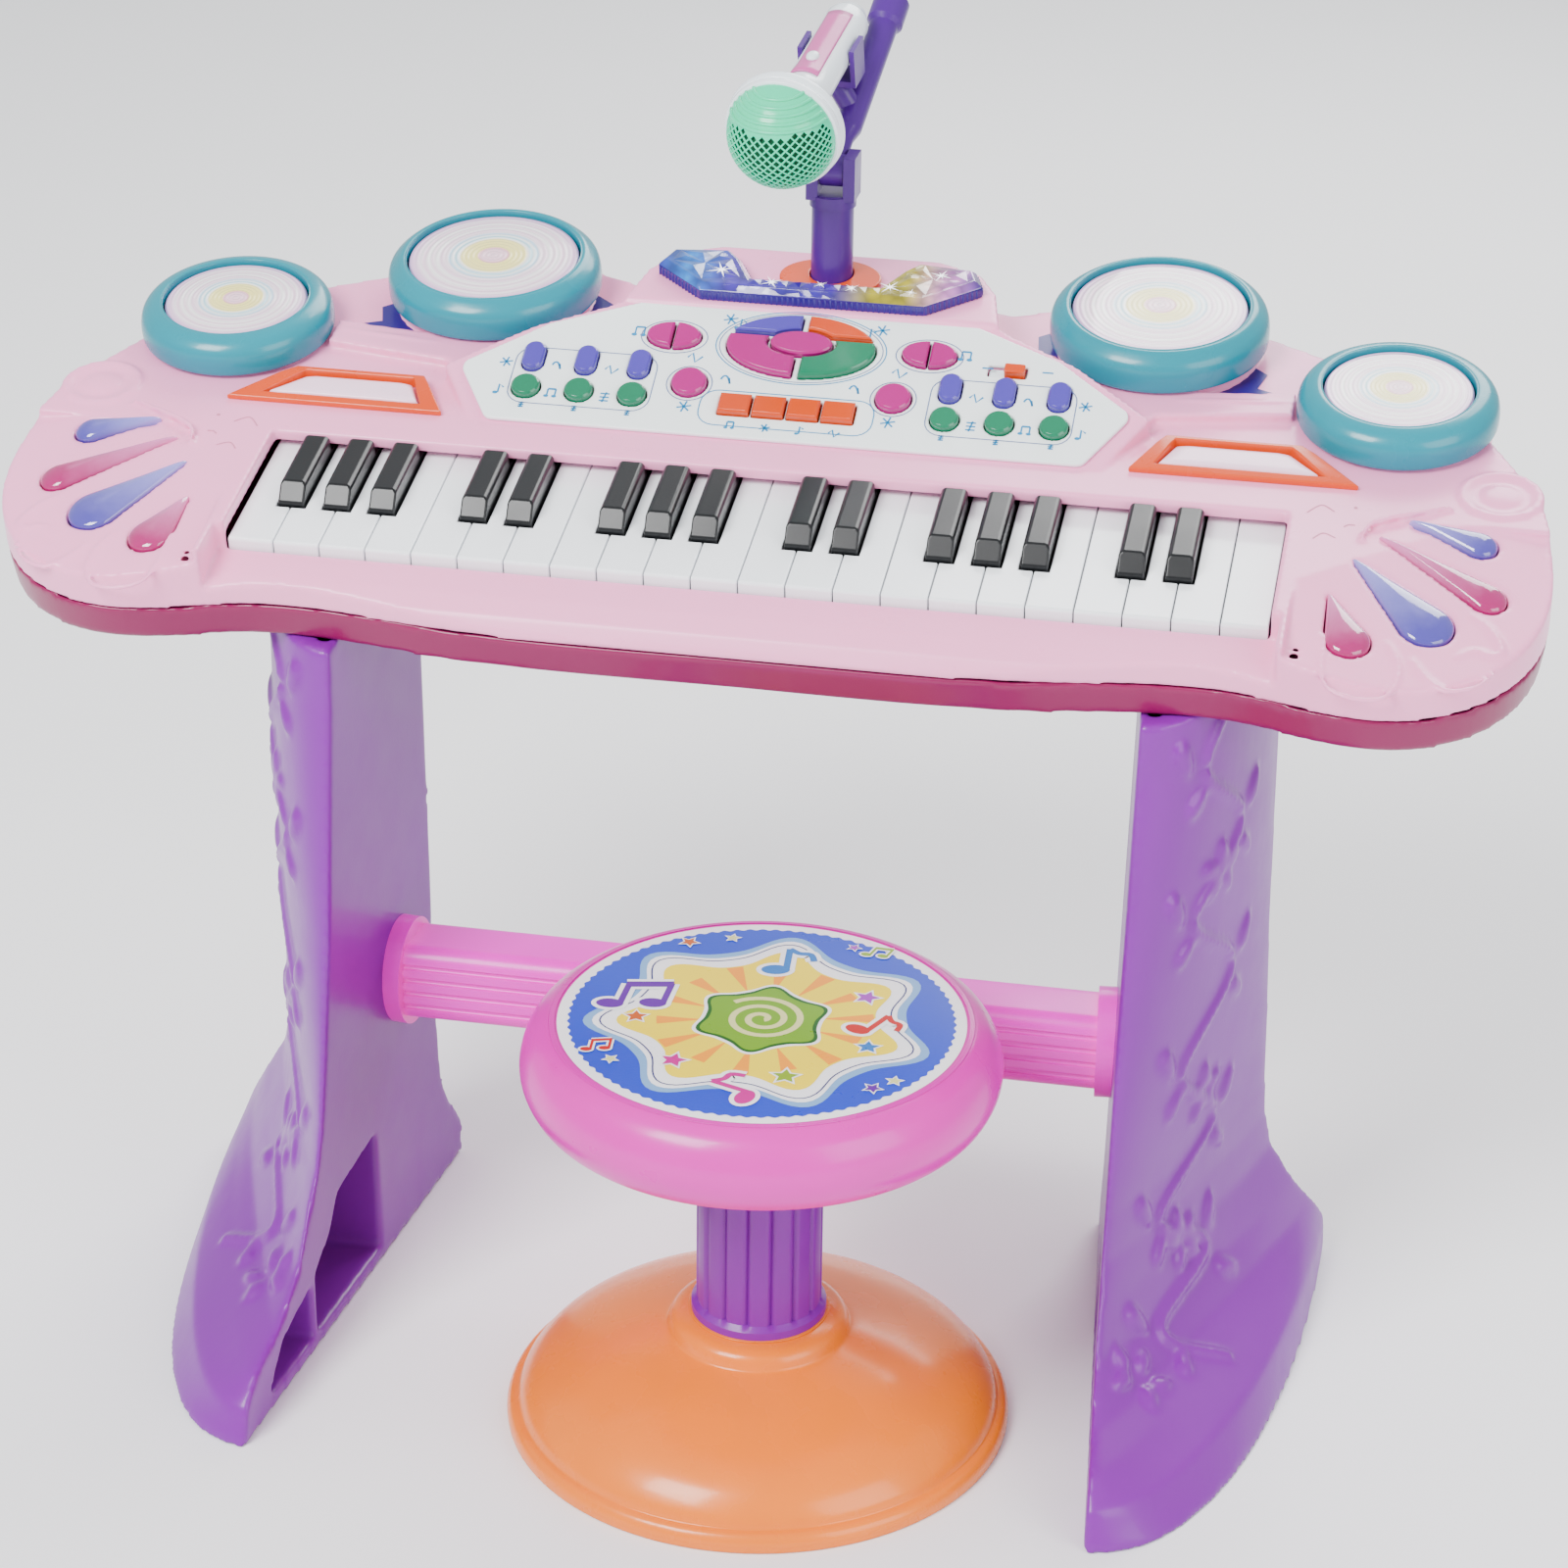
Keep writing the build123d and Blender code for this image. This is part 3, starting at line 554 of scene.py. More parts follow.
def dome(name, outline, low, crown, place, paint, body, edge=0.35, rings=9, power=0.55, along=None):
    """A button: straight sides that round over to a low crown."""
    cx = sum(p[0] for p in outline) / len(outline)
    cy = sum(p[1] for p in outline) / len(outline)
    shoulder = low + (crown - low) * edge
    count = len(outline)
    levels = [(1.0, low), (1.0, shoulder)]
    for ring in range(1, rings):
        angle = math.radians(90 * ring / rings)
        levels.append((math.cos(angle) ** power, shoulder + (crown - shoulder) * math.sin(angle)))
    verts, faces, uvs = [], [], []
    if along:
        start, direction = Vector(along[0]), Vector(along[1]) - Vector(along[0])
    for i, (scale, z) in enumerate(levels):
        for j, (x, y) in enumerate(outline):
            px, py = cx + (x - cx) * scale, cy + (y - cy) * scale
            verts.append((px, py, z))
            part = (Vector((px, py)) - start).dot(direction) / direction.length_squared if along else scale
            uvs.append((part, scale))
            if i:
                a, b, following = (i - 1) * count, i * count, (j + 1) % count
                faces.append((a + j, a + following, b + following, b + j))
    verts.append((cx, cy, crown))
    uvs.append((0.6 if along else 0.0, 0.0))
    last = (len(levels) - 1) * count
    faces += [(last + j, last + (j + 1) % count, len(verts) - 1) for j in range(count)]
    faces.append(tuple(range(count))[::-1])
    return build(name, verts, faces, place, paint, body, None, uvs, sharp=50)


# ---- casing ----
def line_uv(points, per_span=6, closed=False, height=0.0):
    return [(p.x, p.y, height) for p in smooth_line([(x, y) for x, y in points], per_span, closed)]


def lobe_ridges(place):
    """Raised petal outlines, and the step round the petals, on one side lobe."""
    near = [(223, -4), (222.5, -22), (226, -33), (236, -36.5), (246, -34), (250.5, -25), (250, -13),
            (245, -3)]
    middle = [(255, -10), (261, -19), (269, -24), (279, -19), (286, -10)]
    far = [(275, 19), (282, 13), (287, 3), (284, -1), (277, 0), (271, -5)]
    step = [(230, 51), (233.5, 61), (249, 71), (262, 78)]
    made = []
    for number, line in enumerate((near, middle, far, step)):
        local = [(u - 255, v - 20) for u, v in line]
        bar = tube(f"ridge_{number}", line_uv(local, height=0.2), 1.5, place @ LOBE, taper=True, flat=0.8)
        made.append(bar)
    return made


def cup_bump(place):
    """The shallow rounded knob inside a cup."""
    profile = [(0, -2), (10, -2), (10, -2), (10.5, -0.5), (8.8, 1.6), (5, 2.8), (0, 3.2)]
    return lathe("cup_bump", profile, place @ DECK @ shift(CUP_U, CUP_V, CUP_W - 3.2), "shell", "root",
                 32)


def make_upper_shell():
    extras = []
    for place in (Matrix.Identity(4), FLIP):
        extras += lobe_ridges(place)
        extras.append(cup_bump(place))
        groove = [(151, 135.5), (175, 138), (196, 141)]
        extras.append(tube("shelf_line", line_uv(groove, height=SHELF_W), 1.1, place @ DECK,
                           taper=True, flat=0.8))
    return moulded("upper_shell", "shell", "root", 1.0, 8, extras)


def make_lower_shell():
    return moulded("lower_shell", "magenta", "root", 1.6, 5)


def make_lobe_marks():
    """Small engraved arcs and dots beside the last key, drawn flat in a darker pink as their painted shade."""
    arcs = [[(208.7, 68), (213.7, 74), (219, 70)], [(212.4, 50.4), (216, 54.6), (220.8, 52)],
            [(223.3, 60), (225, 61.8), (227.5, 61.8)]]
    for side, place in (("right", Matrix.Identity(4)), ("left", FLIP)):
        marks = Print()
        for arc in arcs:
            # The darker pink lines are painted shade of the engraved marks.
            marks.line([(p[0], p[1]) for p in line_uv(arc)], 0.55, "line_rose", 0)
        marks.patch(circle(226.7, 74, 0.8, count=10), "line_rose", 0, (226.7, 74))
        marks.make(f"lobe_marks_{side}", place @ DECK @ shift(0, 0, DECK_W + 0.12))


def make_insets():
    """Flat purple fields in front of the inner drums and pink plates in the orange frames."""
    field = [(91, 167), (121, 151), (140, 142), (169, 145.5), (196, 149), (181, 155), (184, 166), (150, 196),
             (104, 194), (89, 182)]
    plate = [(148.6, 91), (211.4, 91), (198.6, 104.6), (154.4, 104.6)]
    for side, place in (("right", Matrix.Identity(4)), ("left", FLIP)):
        sheet = Print()
        sheet.patch(field, "inset", 0, (140, 168))
        sheet.make(f"purple_field_{side}", place @ DECK @ shift(0, 0, DECK_W + 0.3))
        outline = []
        for (x, y), (x2, y2) in zip(plate, plate[1:] + plate[:1]):
            outline += [(x + (x2 - x) * t, y + (y2 - y) * t) for t in (0.06, 0.2, 0.4, 0.6, 0.8, 0.94)]
        dome(f"frame_plate_{side}", outline, DECK_W, DECK_W + 3.4, place @ DECK, "shell_light", "root",
             edge=0.45, power=0.25)


def make_trims():
    bevelled("orange_trims", "orange", "root", 0.7)


# ---- control panel ----
def icon(sheet, kind, x, y, size=2.7):
    """One of six plain marks: note, beat, wave, rays, ladder, twin notes."""
    s = size
    paint = "print_cyan"
    if kind == 0:
        sheet.patch(circle(x - s * 0.4, y - s * 0.7, s * 0.42, s * 0.3, count=10), paint, 0.07,
                    (x - s * 0.4, y - s * 0.7))
        sheet.line([(x, y - s * 0.7), (x, y + s), (x + s * 0.7, y + s * 0.4)], 0.8, paint)
    elif kind == 1:
        sheet.line([(x - s, y), (x - s * 0.4, y + s * 0.8), (x + s * 0.1, y - s * 0.8), (x + s,
                                                                                         y + s * 0.3)], 0.85, paint)
    elif kind == 2:
        sheet.line([(x + s * math.cos(a / 4) * (a / 16 - 1),
                     y + s * 0.7 * math.sin(a / 2.2)) for a in range(16)],
                   0.85, paint)
    elif kind == 3:
        for turn in range(3):
            a = math.radians(60 * turn + 15)
            sheet.line([(x - s * math.cos(a), y - s * math.sin(a)), (x + s * math.cos(a),
                                                                     y + s * math.sin(a))],
                       0.75, paint)
    elif kind == 4:
        for rung in (-0.7, 0, 0.7):
            sheet.line([(x - s * 0.7, y + rung * s), (x + s * 0.7, y + rung * s)], 0.75, paint)
        sheet.line([(x - s * 0.2, y - s), (x + s * 0.2, y + s)], 0.75, paint)
    else:
        for dx in (-0.6, 0.6):
            sheet.patch(circle(x + dx * s - 0.3, y - s * 0.6, s * 0.4, s * 0.28, count=10), paint, 0.07,
                        (x + dx * s - 0.3, y - s * 0.6))
            sheet.line([(x + dx * s, y - s * 0.6), (x + dx * s, y + s * 0.8)], 0.7, paint)
        sheet.line([(x - s * 0.6, y + s * 0.8), (x + s * 0.6, y + s * 0.8)], 1.0, paint)


PILLS = [63 + 21.7 * column for column in range(3)]
STRIP_U = [-20.85 + 13.9 * key for key in range(4)]


def make_panel():
    moulded("control_panel", "panel", "root", 0.5, 4)
    sheet = Print()
    for side in (-1, 1):
        box = round_box(55.5, 113.5, 10.3, 40.5, 7)
        sheet.line([(side * x, y) for x, y in box], 0.45, "print_grey", closed=True)
        sheet.line(circle(side * 41.2, 27.5, 9.2), 0.45, "print_grey", closed=True)
        sheet.line(circle(side * 52, 52, 13.6, 8.9), 0.45, "print_grey", closed=True)
        for number, u in enumerate(PILLS):
            icon(sheet, (number + 1) % 6, side * (u + 10.8), 31.5)
            icon(sheet, (number + 4) % 6, side * (u + 10.8), 16.5)
            icon(sheet, 4, side * u, 9.2, 1.5)
        for kind, x, y in ((5, 66.5, 53.5), (1, 41.5, 41.5), (3, 41, 15), (0, 26.5, 61.5), (2, 26, 31),
                           (3, 31, 64)):
            icon(sheet, kind, side * x, y, 3)
    sheet.line(circle(0, 51, 34.6, 19.6, count=64), 0.5, "print_cyan", closed=True)
    sheet.line(circle(0, 51, 33.2, 18.5, count=64), 0.4, "print_grey", closed=True)
    sheet.line(round_box(-35, 35, 6.6, 25.2, 7), 0.5, "print_cyan", closed=True)
    for number, u in enumerate(STRIP_U):
        icon(sheet, (5, 3, 0, 1)[number], u, 7, 2.2)
    for x in (76, 100):
        sheet.line([(x - 2.2, 48), (x + 2.2, 48)], 0.8, "print_cyan")
    sheet.patch(round_box(76.6, 91.4, 44.4, 49.6, 1.2), "mic_white", -2.2, (84, 47))
    sheet.make("panel_prints", PANEL @ shift(0, 0, PANEL_THICK))


def button_paint(u, v):
    """The colour of a panel button from its place on the panel."""
    if v < 22 and abs(u) < 30:
        return "button_orange"
    if abs(u) > 55 and v < 24:
        return "button_green"
    if abs(u) > 58 and v < 45:
        return "button_blue"
    if abs(u) > 35 or math.hypot(u / 2, v - 52.5) < 2.5:
        return "button_pink"
    if v > 56:
        return "button_blue" if u < 0 else "button_orange"
    return "button_pink" if u < 0 else "button_green"


def make_buttons():
    """Each button is painted by where its middle lies, then given rounded edges."""
    mesh = node_mesh("panel_buttons")
    work = bmesh.new()
    work.from_mesh(mesh)
    paints = ["button_orange", "button_green", "button_blue", "button_pink"]
    home = PANEL.inverted()
    left = set(work.faces)
    while left:
        group, edge = set(), [left.pop()]
        while edge:
            face = edge.pop()
            group.add(face)
            for near in {f for side in face.edges for f in side.link_faces} & left:
                left.discard(near)
                edge.append(near)
        spots = [home @ v.co for face in group for v in face.verts]
        u = (min(p.x for p in spots) + max(p.x for p in spots)) / 2 / MM
        v = (min(p.y for p in spots) + max(p.y for p in spots)) / 2 / MM
        for face in group:
            face.material_index = paints.index(button_paint(u, v))
    work.to_mesh(mesh)
    work.free()
    for paint in paints:
        mesh.materials.append(PAINT[paint])
    piece = add_object("panel_buttons_round", mesh, "panel_buttons")
    edge = piece.modifiers.new("edges", "BEVEL")
    edge.width = 0.55 * MM
    edge.segments = 4
    edge.angle_limit = math.radians(20)
    edge.harden_normals = True
    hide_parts("panel_buttons")
    bevelled("power_switch", "button_orange", "power_switch", 0.9, 4)


# ---- petals ----
def drop_outline(tip, end, width):
    """A drop with its point at tip and its round end at end."""
    tip, end = Vector(tip), Vector(end)
    length, radius = (end - tip).length, width / 2
    reach = length - radius
    touch = 180 - math.degrees(math.acos(radius / reach))
    across = circle(reach, 0, radius, radius, -touch, touch, 22)
    first, last = across[0], across[-1]
    into = [(first[0] * t, first[1] * t) for t in (0.04, 0.2, 0.4, 0.6, 0.8)]
    back = [(last[0] * t, last[1] * t) for t in (0.8, 0.6, 0.4, 0.2, 0.04)]
    along = (end - tip).normalized()
    square = Vector((-along.y, along.x))
    return [tuple(tip + along * x + square * y) for x, y in into + across + back]


def make_petals():
    for side, place in (("right", Matrix.Identity(4)), ("left", FLIP)):
        for number, (tip, end, width) in enumerate(PETALS):
            tip_here, end_here = (tip[0] - 255, tip[1] - 20), (end[0] - 255, end[1] - 20)
            outline = drop_outline(tip_here, end_here, width)
            paint = "gel_violet" if number % 2 else "gel_pink"
            dome(f"petal_{side}_{number + 1}", outline, -6, 2.9, place @ LOBE, paint,
                             "petal_buttons",
                             edge=0.62, power=0.75, along=(tip_here, end_here))
    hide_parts("petal_buttons")


# ---- keys ----
def make_keys():
    for node in sorted(NODES):
        if node.startswith("white_key"):
            bevelled(node, "white_key", node, 0.6)
        elif node.startswith("black_key"):
            bevelled(node, "black_key", node, 1.0, 4)


# ---- drums ----
def make_drums():
    order = [("outer", -1), ("inner", -1), ("inner", 1), ("outer", 1)]
    for number, (name, side) in enumerate(order, start=1):
        u, v, top, lens, rim, low = DRUMS[name]
        place = DECK @ shift(side * u, v, 0)
        disc = [(0, -4), (7, -4), (7, -4), (7, top - 6), (7, top - 6), (lens - 0.6, top - 6), (lens, top - 5),
                (lens, top - 1.6), (lens - 0.5, top - 0.5), (lens - 2, top - 0.1), (lens * 0.6, top + 0.6),
                (0, top + 0.9)]
        pad = lathe(f"drum_lens_{number}", disc, place, "lens", f"drum_pad_{number}", radius=lens)
        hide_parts(f"drum_pad_{number}")
        ring = [(rim - 3.6, low + 4.2), (lens + 0.7, low + 4.2), (lens + 0.7, low + 4.2), (lens + 0.7,
                                                                                           top + 0.6),
                (lens + 1.4, top + 1.3), (lens + 2.8, top + 1.4), (rim - 4, top + 0.2), (rim - 1.2,
                                                                                         top - 2.6),
                (rim, top - 6.5), (rim, low + 2), (rim - 0.7, low + 0.3), (rim - 2, low + 0.1),
                (rim - 3.6, low + 0.1),
                (rim - 3.6, low + 0.1), (rim - 3.6, low + 4.2)]
        lathe(f"drum_rim_{number}", ring, place, "teal", "root")
    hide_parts("drum_rims")


# ---- light bar ----
LAMP_PLAN = [(46, 155.5), (67, 174), (63, 185), (39, 187.5), (33, 180), (24, 162)]


def make_light_bar():
    mesh = node_mesh("light_bar")
    up = (DECK.to_3x3() @ Vector((0, 0, 1))).normalized()
    for paint in ("jewel", "side_dark"):
        mesh.materials.append(PAINT[paint])
    for polygon in mesh.polygons:
        polygon.material_index = 0 if polygon.normal.dot(up) > 0.3 else 1
    piece = add_object("light_bar_jewel", mesh, "root")
    edge = piece.modifiers.new("edges", "BEVEL")
    edge.width = 0.5 * MM
    edge.segments = 2
    edge.harden_normals = True
    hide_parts("light_bar")
    make_lamp_ribs()
    make_facets()
    make_glints()


def make_lamp_ribs():
    """Upright ribs round the side walls of the light bar."""
    plan = LAMP_PLAN + [(-u, v) for u, v in reversed(LAMP_PLAN)]
    verts, faces = [], []
    for (x0, y0), (x1, y1) in zip(plan, plan[1:] + plan[:1]):
        length = math.hypot(x1 - x0, y1 - y0)
        along = Vector((x1 - x0, y1 - y0)).normalized()
        out = Vector((along.y, -along.x))
        for step in range(int(length / 2.2)):
            p = Vector((x0, y0)) + along * (step + 0.5) * 2.2
            start = len(verts)
            for z in (REAR_W + 0.3, REAR_W + 3.9):
                for side, depth in ((-0.4, 0.0), (0, 0.55), (0.4, 0.0)):
                    q = p + along * side + out * depth
                    verts.append((q.x, q.y, z))
            faces += [(start, start + 1, start + 4, start + 3), (start + 1, start + 2, start + 5, start + 4),
                      (start + 3, start + 4, start + 5)]
    build("lamp_ribs", verts, faces, DECK, "inset")


def make_facets():
    """Low pyramids moulded in the top of the light bar."""
    verts, faces = [], []
    top = REAR_W + 7
    for side in (-1, 1):
        corners = [(46, 160.5), (61, 174), (59, 182), (42, 184), (37, 178), (31, 164)]
        hub = (47, 173)
        for i, (x, y) in enumerate(corners):
            x2, y2 = corners[(i + 1) % len(corners)]
            start = len(verts)
            mid = ((x + x2 + hub[0]) / 3, (y + y2 + hub[1]) / 3)
            points = [(x, y, 0.02), (x2, y2, 0.02), (*hub, 0.25), (*mid, 0.9)]
            verts += [(side * a, b, top + c) for a, b, c in points]
            turns = [(0, 1, 3), (1, 2, 3), (2, 0, 3)]
            faces += [tuple(start + k for k in (t if side > 0 else t[::-1])) for t in turns]
    for step in range(-5, 5):
        x, wide, low, high = step * 5.4, 5.4, 159.0, 163.5
        start = len(verts)
        verts += [(x, low, top + 0.02), (x + wide, low, top + 0.02), (x + wide, high, top + 0.02),
                  (x, high, top + 0.02), (x + wide / 2, (low + high) / 2, top + 0.9)]
        faces += [(start + k, start + (k + 1) % 4, start + 4) for k in range(4)]
    piece = build("lamp_facets", verts, faces, DECK, "jewel")
    for polygon in piece.data.polygons:
        polygon.use_smooth = False


def make_glints():
    """Painted star-shaped glints on the clear top, where the lamps shine through."""
    sheet = Print()
    glints = [(-39, 167, 6.5), (-17, 160, 5), (3, 161, 3.2), (16, 160, 3.6), (31, 163, 5.5), (50, 175,
                                                                                              5), (40, 160, 3)]
    for number, (x, y, size) in enumerate(glints):
        # Each glint is a painted highlight: a flat glowing star over the clear top.
        sheet.patch(star(x, y, size, size * 0.09, 4, 20 + 10 * number), "glint", 0, (x, y))
        sheet.patch(star(x, y, size * 0.55, size * 0.08, 4, 65 + 10 * number), "glint", 0.03, (x, y))
        sheet.patch(circle(x, y, size * 0.14, count=12), "glint", 0.05, (x, y))
    sheet.make("lamp_glints", DECK @ shift(0, 0, REAR_W + 8.1))


# ---- microphone and stand ----
def make_stand():
    bevelled("mic_post", "violet", "root", 0.9, 4)
    bevelled("mic_holder", "violet", "mic_holder", 0.6, 3)


def make_grille():
    """The front of the ball: a net with real holes low down. The raised rings above it are added in
    make_microphone.
    """
    radius, cell = 22.3, 2.7
    half = int(radius * math.radians(96) / cell)
    verts, where = [], {}
    for i in range(-half, half + 1):
        for j in range(-half, half + 1):
            a, b = (i - j) * cell / math.sqrt(2), (i + j) * cell / math.sqrt(2)
            if math.hypot(a, b) > radius * math.radians(95):
                continue
            theta, phi = math.hypot(a, b) / radius, math.atan2(b, a)
            where[i, j] = len(verts)
            verts.append((radius * math.sin(theta) * math.cos(phi), radius * math.sin(theta) * math.sin(phi),
                          -radius * math.cos(theta)))
    faces = []
    for i, j in where:
        ring = [(i, j), (i + 1, j), (i + 1, j + 1), (i, j + 1)]
        if all(key in where for key in ring):
            faces.append(tuple(where[key] for key in ring)[::-1])
    piece = build("mic_grille", verts, faces, MIC, "mint", "microphone")
    cut_holes(piece.data)
    shell = piece.modifiers.new("wall", "SOLIDIFY")
    shell.thickness = 0.9 * MM
    shell.offset = -1
    return piece


def cut_holes(mesh):
    """Opens the net's cells in the lower half of the ball."""
    work = bmesh.new()
    work.from_mesh(mesh)
    home = MIC.inverted()
    cells = []
    for face in work.faces:
        spot = (home @ face.calc_center_median()) / MM
        if spot.y < 9 and spot.z < -5 and len(face.verts) == 4:
            cells.append(face)
    bmesh.ops.inset_individual(work, faces=cells, thickness=0.42 * MM)
    bmesh.ops.delete(work, geom=cells, context="FACES")
    work.to_mesh(mesh)
    work.free()


def make_microphone():
    length = (MIC_TAIL - MIC_FRONT).length
    profile = [(0, 1), (22.8, 1), (22.8, 1), (23.6, 1.6), (24, 3), (24, 4.8), (23, 6.6), (20.5, 9.5),
               (14.5, 17.5),
               (11.6, 24), (9.9, 33), (9.4, 45), (9.2, length - 8.5), (9.2, length - 8.5), (8, length - 5.6),
               (6.6, length - 2.2), (4.6, length - 0.6), (0, length - 0.6)]
    body = lathe("mic_body", profile, MIC, "mic_white", "microphone", 80)
    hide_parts("microphone")
    # A dark green ball inside the net: painted shade seen through the holes.
    inside = [(0, -20.6), (8, -19), (14.5, -14.6), (18.6, -9), (20.4, -2), (20.6, 1), (0, 1)]
    lathe("mic_shade_core", inside, MIC, "deep_green", "microphone", 48)
    make_grille()
    seat = [(20.6, -2.2), (22.9, -2.2), (23.4, -1.2), (23.3, 1.2), (20.6, 1.2)]
    lathe("mic_collar", seat, MIC, "mic_white", "microphone", 80, per_span=3)
    for number, height in enumerate((10.6, 13.2, 15.6, 17.8, 19.8)):
        reach = math.sqrt(22.3 ** 2 - height ** 2)
        arc = [(reach * math.cos(a), height, reach * math.sin(a)) for a in
               [math.radians(192 + 156 * i / 40) for i in range(41)]]
        tube(f"grille_ridge_{number + 1}", arc, 0.75, MIC, paint="mint", body="microphone")
    make_inlay(length)


def make_inlay(length):
    """The pink strip let in to the top of the handle, with its small switch."""
    verts, faces = [], []
    start, end, spread, steps = 30.0, length - 16, 32, 10
    for i in range(13):
        z = start + (end - start) * i / 12
        radius = 9.85 + max(0.0, 0.9 - (z - start) * 0.09)
        for j in range(steps + 1):
            angle = math.radians(92 - spread + 2 * spread * j / steps)
            verts.append((radius * math.cos(angle), radius * math.sin(angle), z))
            if i and j:
                a, b = (i - 1) * (steps + 1) + j, i * (steps + 1) + j
                faces.append((a - 1, b - 1, b, a))
    strip = build("mic_inlay", verts, faces, MIC, "mic_pink", "microphone")
    wall = strip.modifiers.new("wall", "SOLIDIFY")
    wall.thickness = 0.5 * MM
    wall.offset = 0
    seat = MIC @ shift(0, 9.9, start + 13) @ spin(-90, "X")
    dome("mic_switch", circle(0, 0, 2.6, 3.4, count=24), -0.6, 1.9, seat, "mic_white", "microphone",
         edge=0.3, power=0.8)


# ---- legs and bar ----
def leg_surface(y, z):
    """A point on the outer face of the right leg, with the way it faces."""
    spot, normal, _, _ = LEG_TREE.ray_cast(Vector((300, y, z)) * MM, Vector((-1, 0, 0)))
    return (spot / MM, normal) if spot else (None, None)


def leaf(y, z, long, wide, turn, place):
    """A flat raised leaf on the outer face of a leg."""
    spot, normal = leg_surface(y, z)
    if spot is None:
        return []
    local = axes(spot, (0, math.cos(math.radians(turn)), math.sin(math.radians(turn))), normal)
    outline = [(long * (math.cos(a) + 0.15 * math.cos(2 * a)), wide * math.sin(a)) for a in
               [2 * math.pi * i / 20 for i in range(20)]]
    return [dome("leaf", outline, -2.5, 2.4, place @ local, "leg", "root", edge=0.6, rings=5)]


def leg_ornament(place):
    """A moulded vine with leaves and blossoms that climbs the outer face."""
    path = [(-28, 292), (-42, 262), (-16, 232), (-46, 200), (-14, 168), (-48, 134), (-20, 102), (-62,
                                                                                                 76), (-36, 52),
            (-84, 40), (-70, 22)]
    stem = []
    for p in smooth_line(path, 8):
        spot, _ = leg_surface(p.x, p.y)
        if spot is not None:
            stem.append(tuple(spot))
    made = [tube("stem", stem, 2.6, place, paint="leg", sides=8)]
    for number, (y, z) in enumerate(path[1:-1]):
        side = 1 if number % 2 else -1
        made += leaf(y + 9 * side, z + 9, 8, 4, 60 * side, place)
        made += leaf(y + 4 * side, z - 12, 7, 3.5, -40 * side, place)
    for y, z in ((-30, 216), (-30, 118), (-50, 62), (-110, 34)):
        for petal in range(5):
            a = math.radians(72 * petal + 18)
            made += leaf(y + 7 * math.cos(a), z + 7 * math.sin(a), 5.5, 3.6, 72 * petal + 18, place)
    return made


def make_legs():
    moulded("leg_right", "leg", "root", 1.3, 12, leg_ornament(Matrix.Identity(4)))
    moulded("leg_left", "leg", "root", 1.3, 12, leg_ornament(FLIP))
    bevelled("crossbar", "bar", "root", 0.7)


LEG_TREE = BVHTree.FromObject(NODES["leg_right"], bpy.context.evaluated_depsgraph_get())


# ---- stool ----
def make_stool():
    low, top = SEAT_Z - SEAT_THICK, SEAT_Z
    seat = [(0, low), (30, low), (30, low), (30, low + 20), (30, top - 6), (30, top - 6), (60,
                                                                                           top - 6), (77, top - 5),
            (84, low + 27), (88, low + 19), (86.5, low + 12), (81, low + 5), (73, low), (73, low), (80,
                                                                                                    low + 1),
            (87, low + 5), (91, low + 12), (SEAT_R, low + 19), (90.3, low + 26), (87, low + 31.5),
            (82.5, low + 34.8),
            (79.5, top - 0.1), (78.4, top), (78.4, top), (77.8, top - 0.4), (40, top - 0.4), (0, top - 0.4)]
    cushion = lathe("seat_shell", seat, STOOL, "seat", "stool", 128)
    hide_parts("stool_seat")
    base = [(BASE_R - 4, 1.5), (BASE_R - 4, 0), (BASE_R - 4, 0), (BASE_R, 0), (BASE_R, 0), (BASE_R,
                                                                                            3.6), (97.4, 6.4),
            (94.6, 7.6), (94.6, 7.6), (92.4, 12.6), (86, 19.5), (75, 26), (60, 32), (46, 36), (37.5, 38.2),
            (35.8, 39.2), (35.8, 39.2), (34.2, 43.2), (31.2, 45.4), (27, 46.4), (25.5, 46.9), (0, 47)]
    foot = lathe("stool_base", base, STOOL, "base", "stool", 128)
    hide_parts("stool_pedestal")
    under = [(BASE_R - 4, 1.5), (88, 10), (76, 20), (57, 29), (20, 34), (0, 34)]
    lathe("stool_base_inside", under, STOOL, "base", "stool", 96)
    make_column()
    make_decal()


def make_column():
    """The fluted column, a little thicker where it meets the base."""
    steps, flutes = 192, 16
    verts, faces = [], []
    levels = [(46, 26.4), (50, 26.4), (51.2, 25.2), (52, 24.5), (90, 24.5), (SEAT_Z - SEAT_THICK, 24.5)]
    for ring, (z, radius) in enumerate(levels):
        for step in range(steps):
            angle = 2 * math.pi * step / steps
            wave = abs(math.sin(angle * flutes / 2))
            depth = 1.5 * max(0.0, 1 - wave * 2.4) if z > 51.5 else 0.0
            r = radius - depth
            verts.append((r * math.cos(angle), r * math.sin(angle), z))
            if ring:
                a, b, following = (ring - 1) * steps, ring * steps, (step + 1) % steps
                faces.append((a + step, a + following, b + following, b + step))
    build("stool_column", verts, faces, STOOL, "leg", "stool", sharp=40)


def lobed(base, swing, lobes=7, turn=90.0, count=140, bias=0.35):
    """A soft star outline: radius base, swinging in and out once for each lobe."""
    points = []
    for i in range(count):
        a = 2 * math.pi * i / count
        wave = math.cos(lobes * (a - math.radians(turn)))
        r = base + swing * (wave + bias * wave * wave)
        points.append((r * math.cos(a), r * math.sin(a)))
    return points


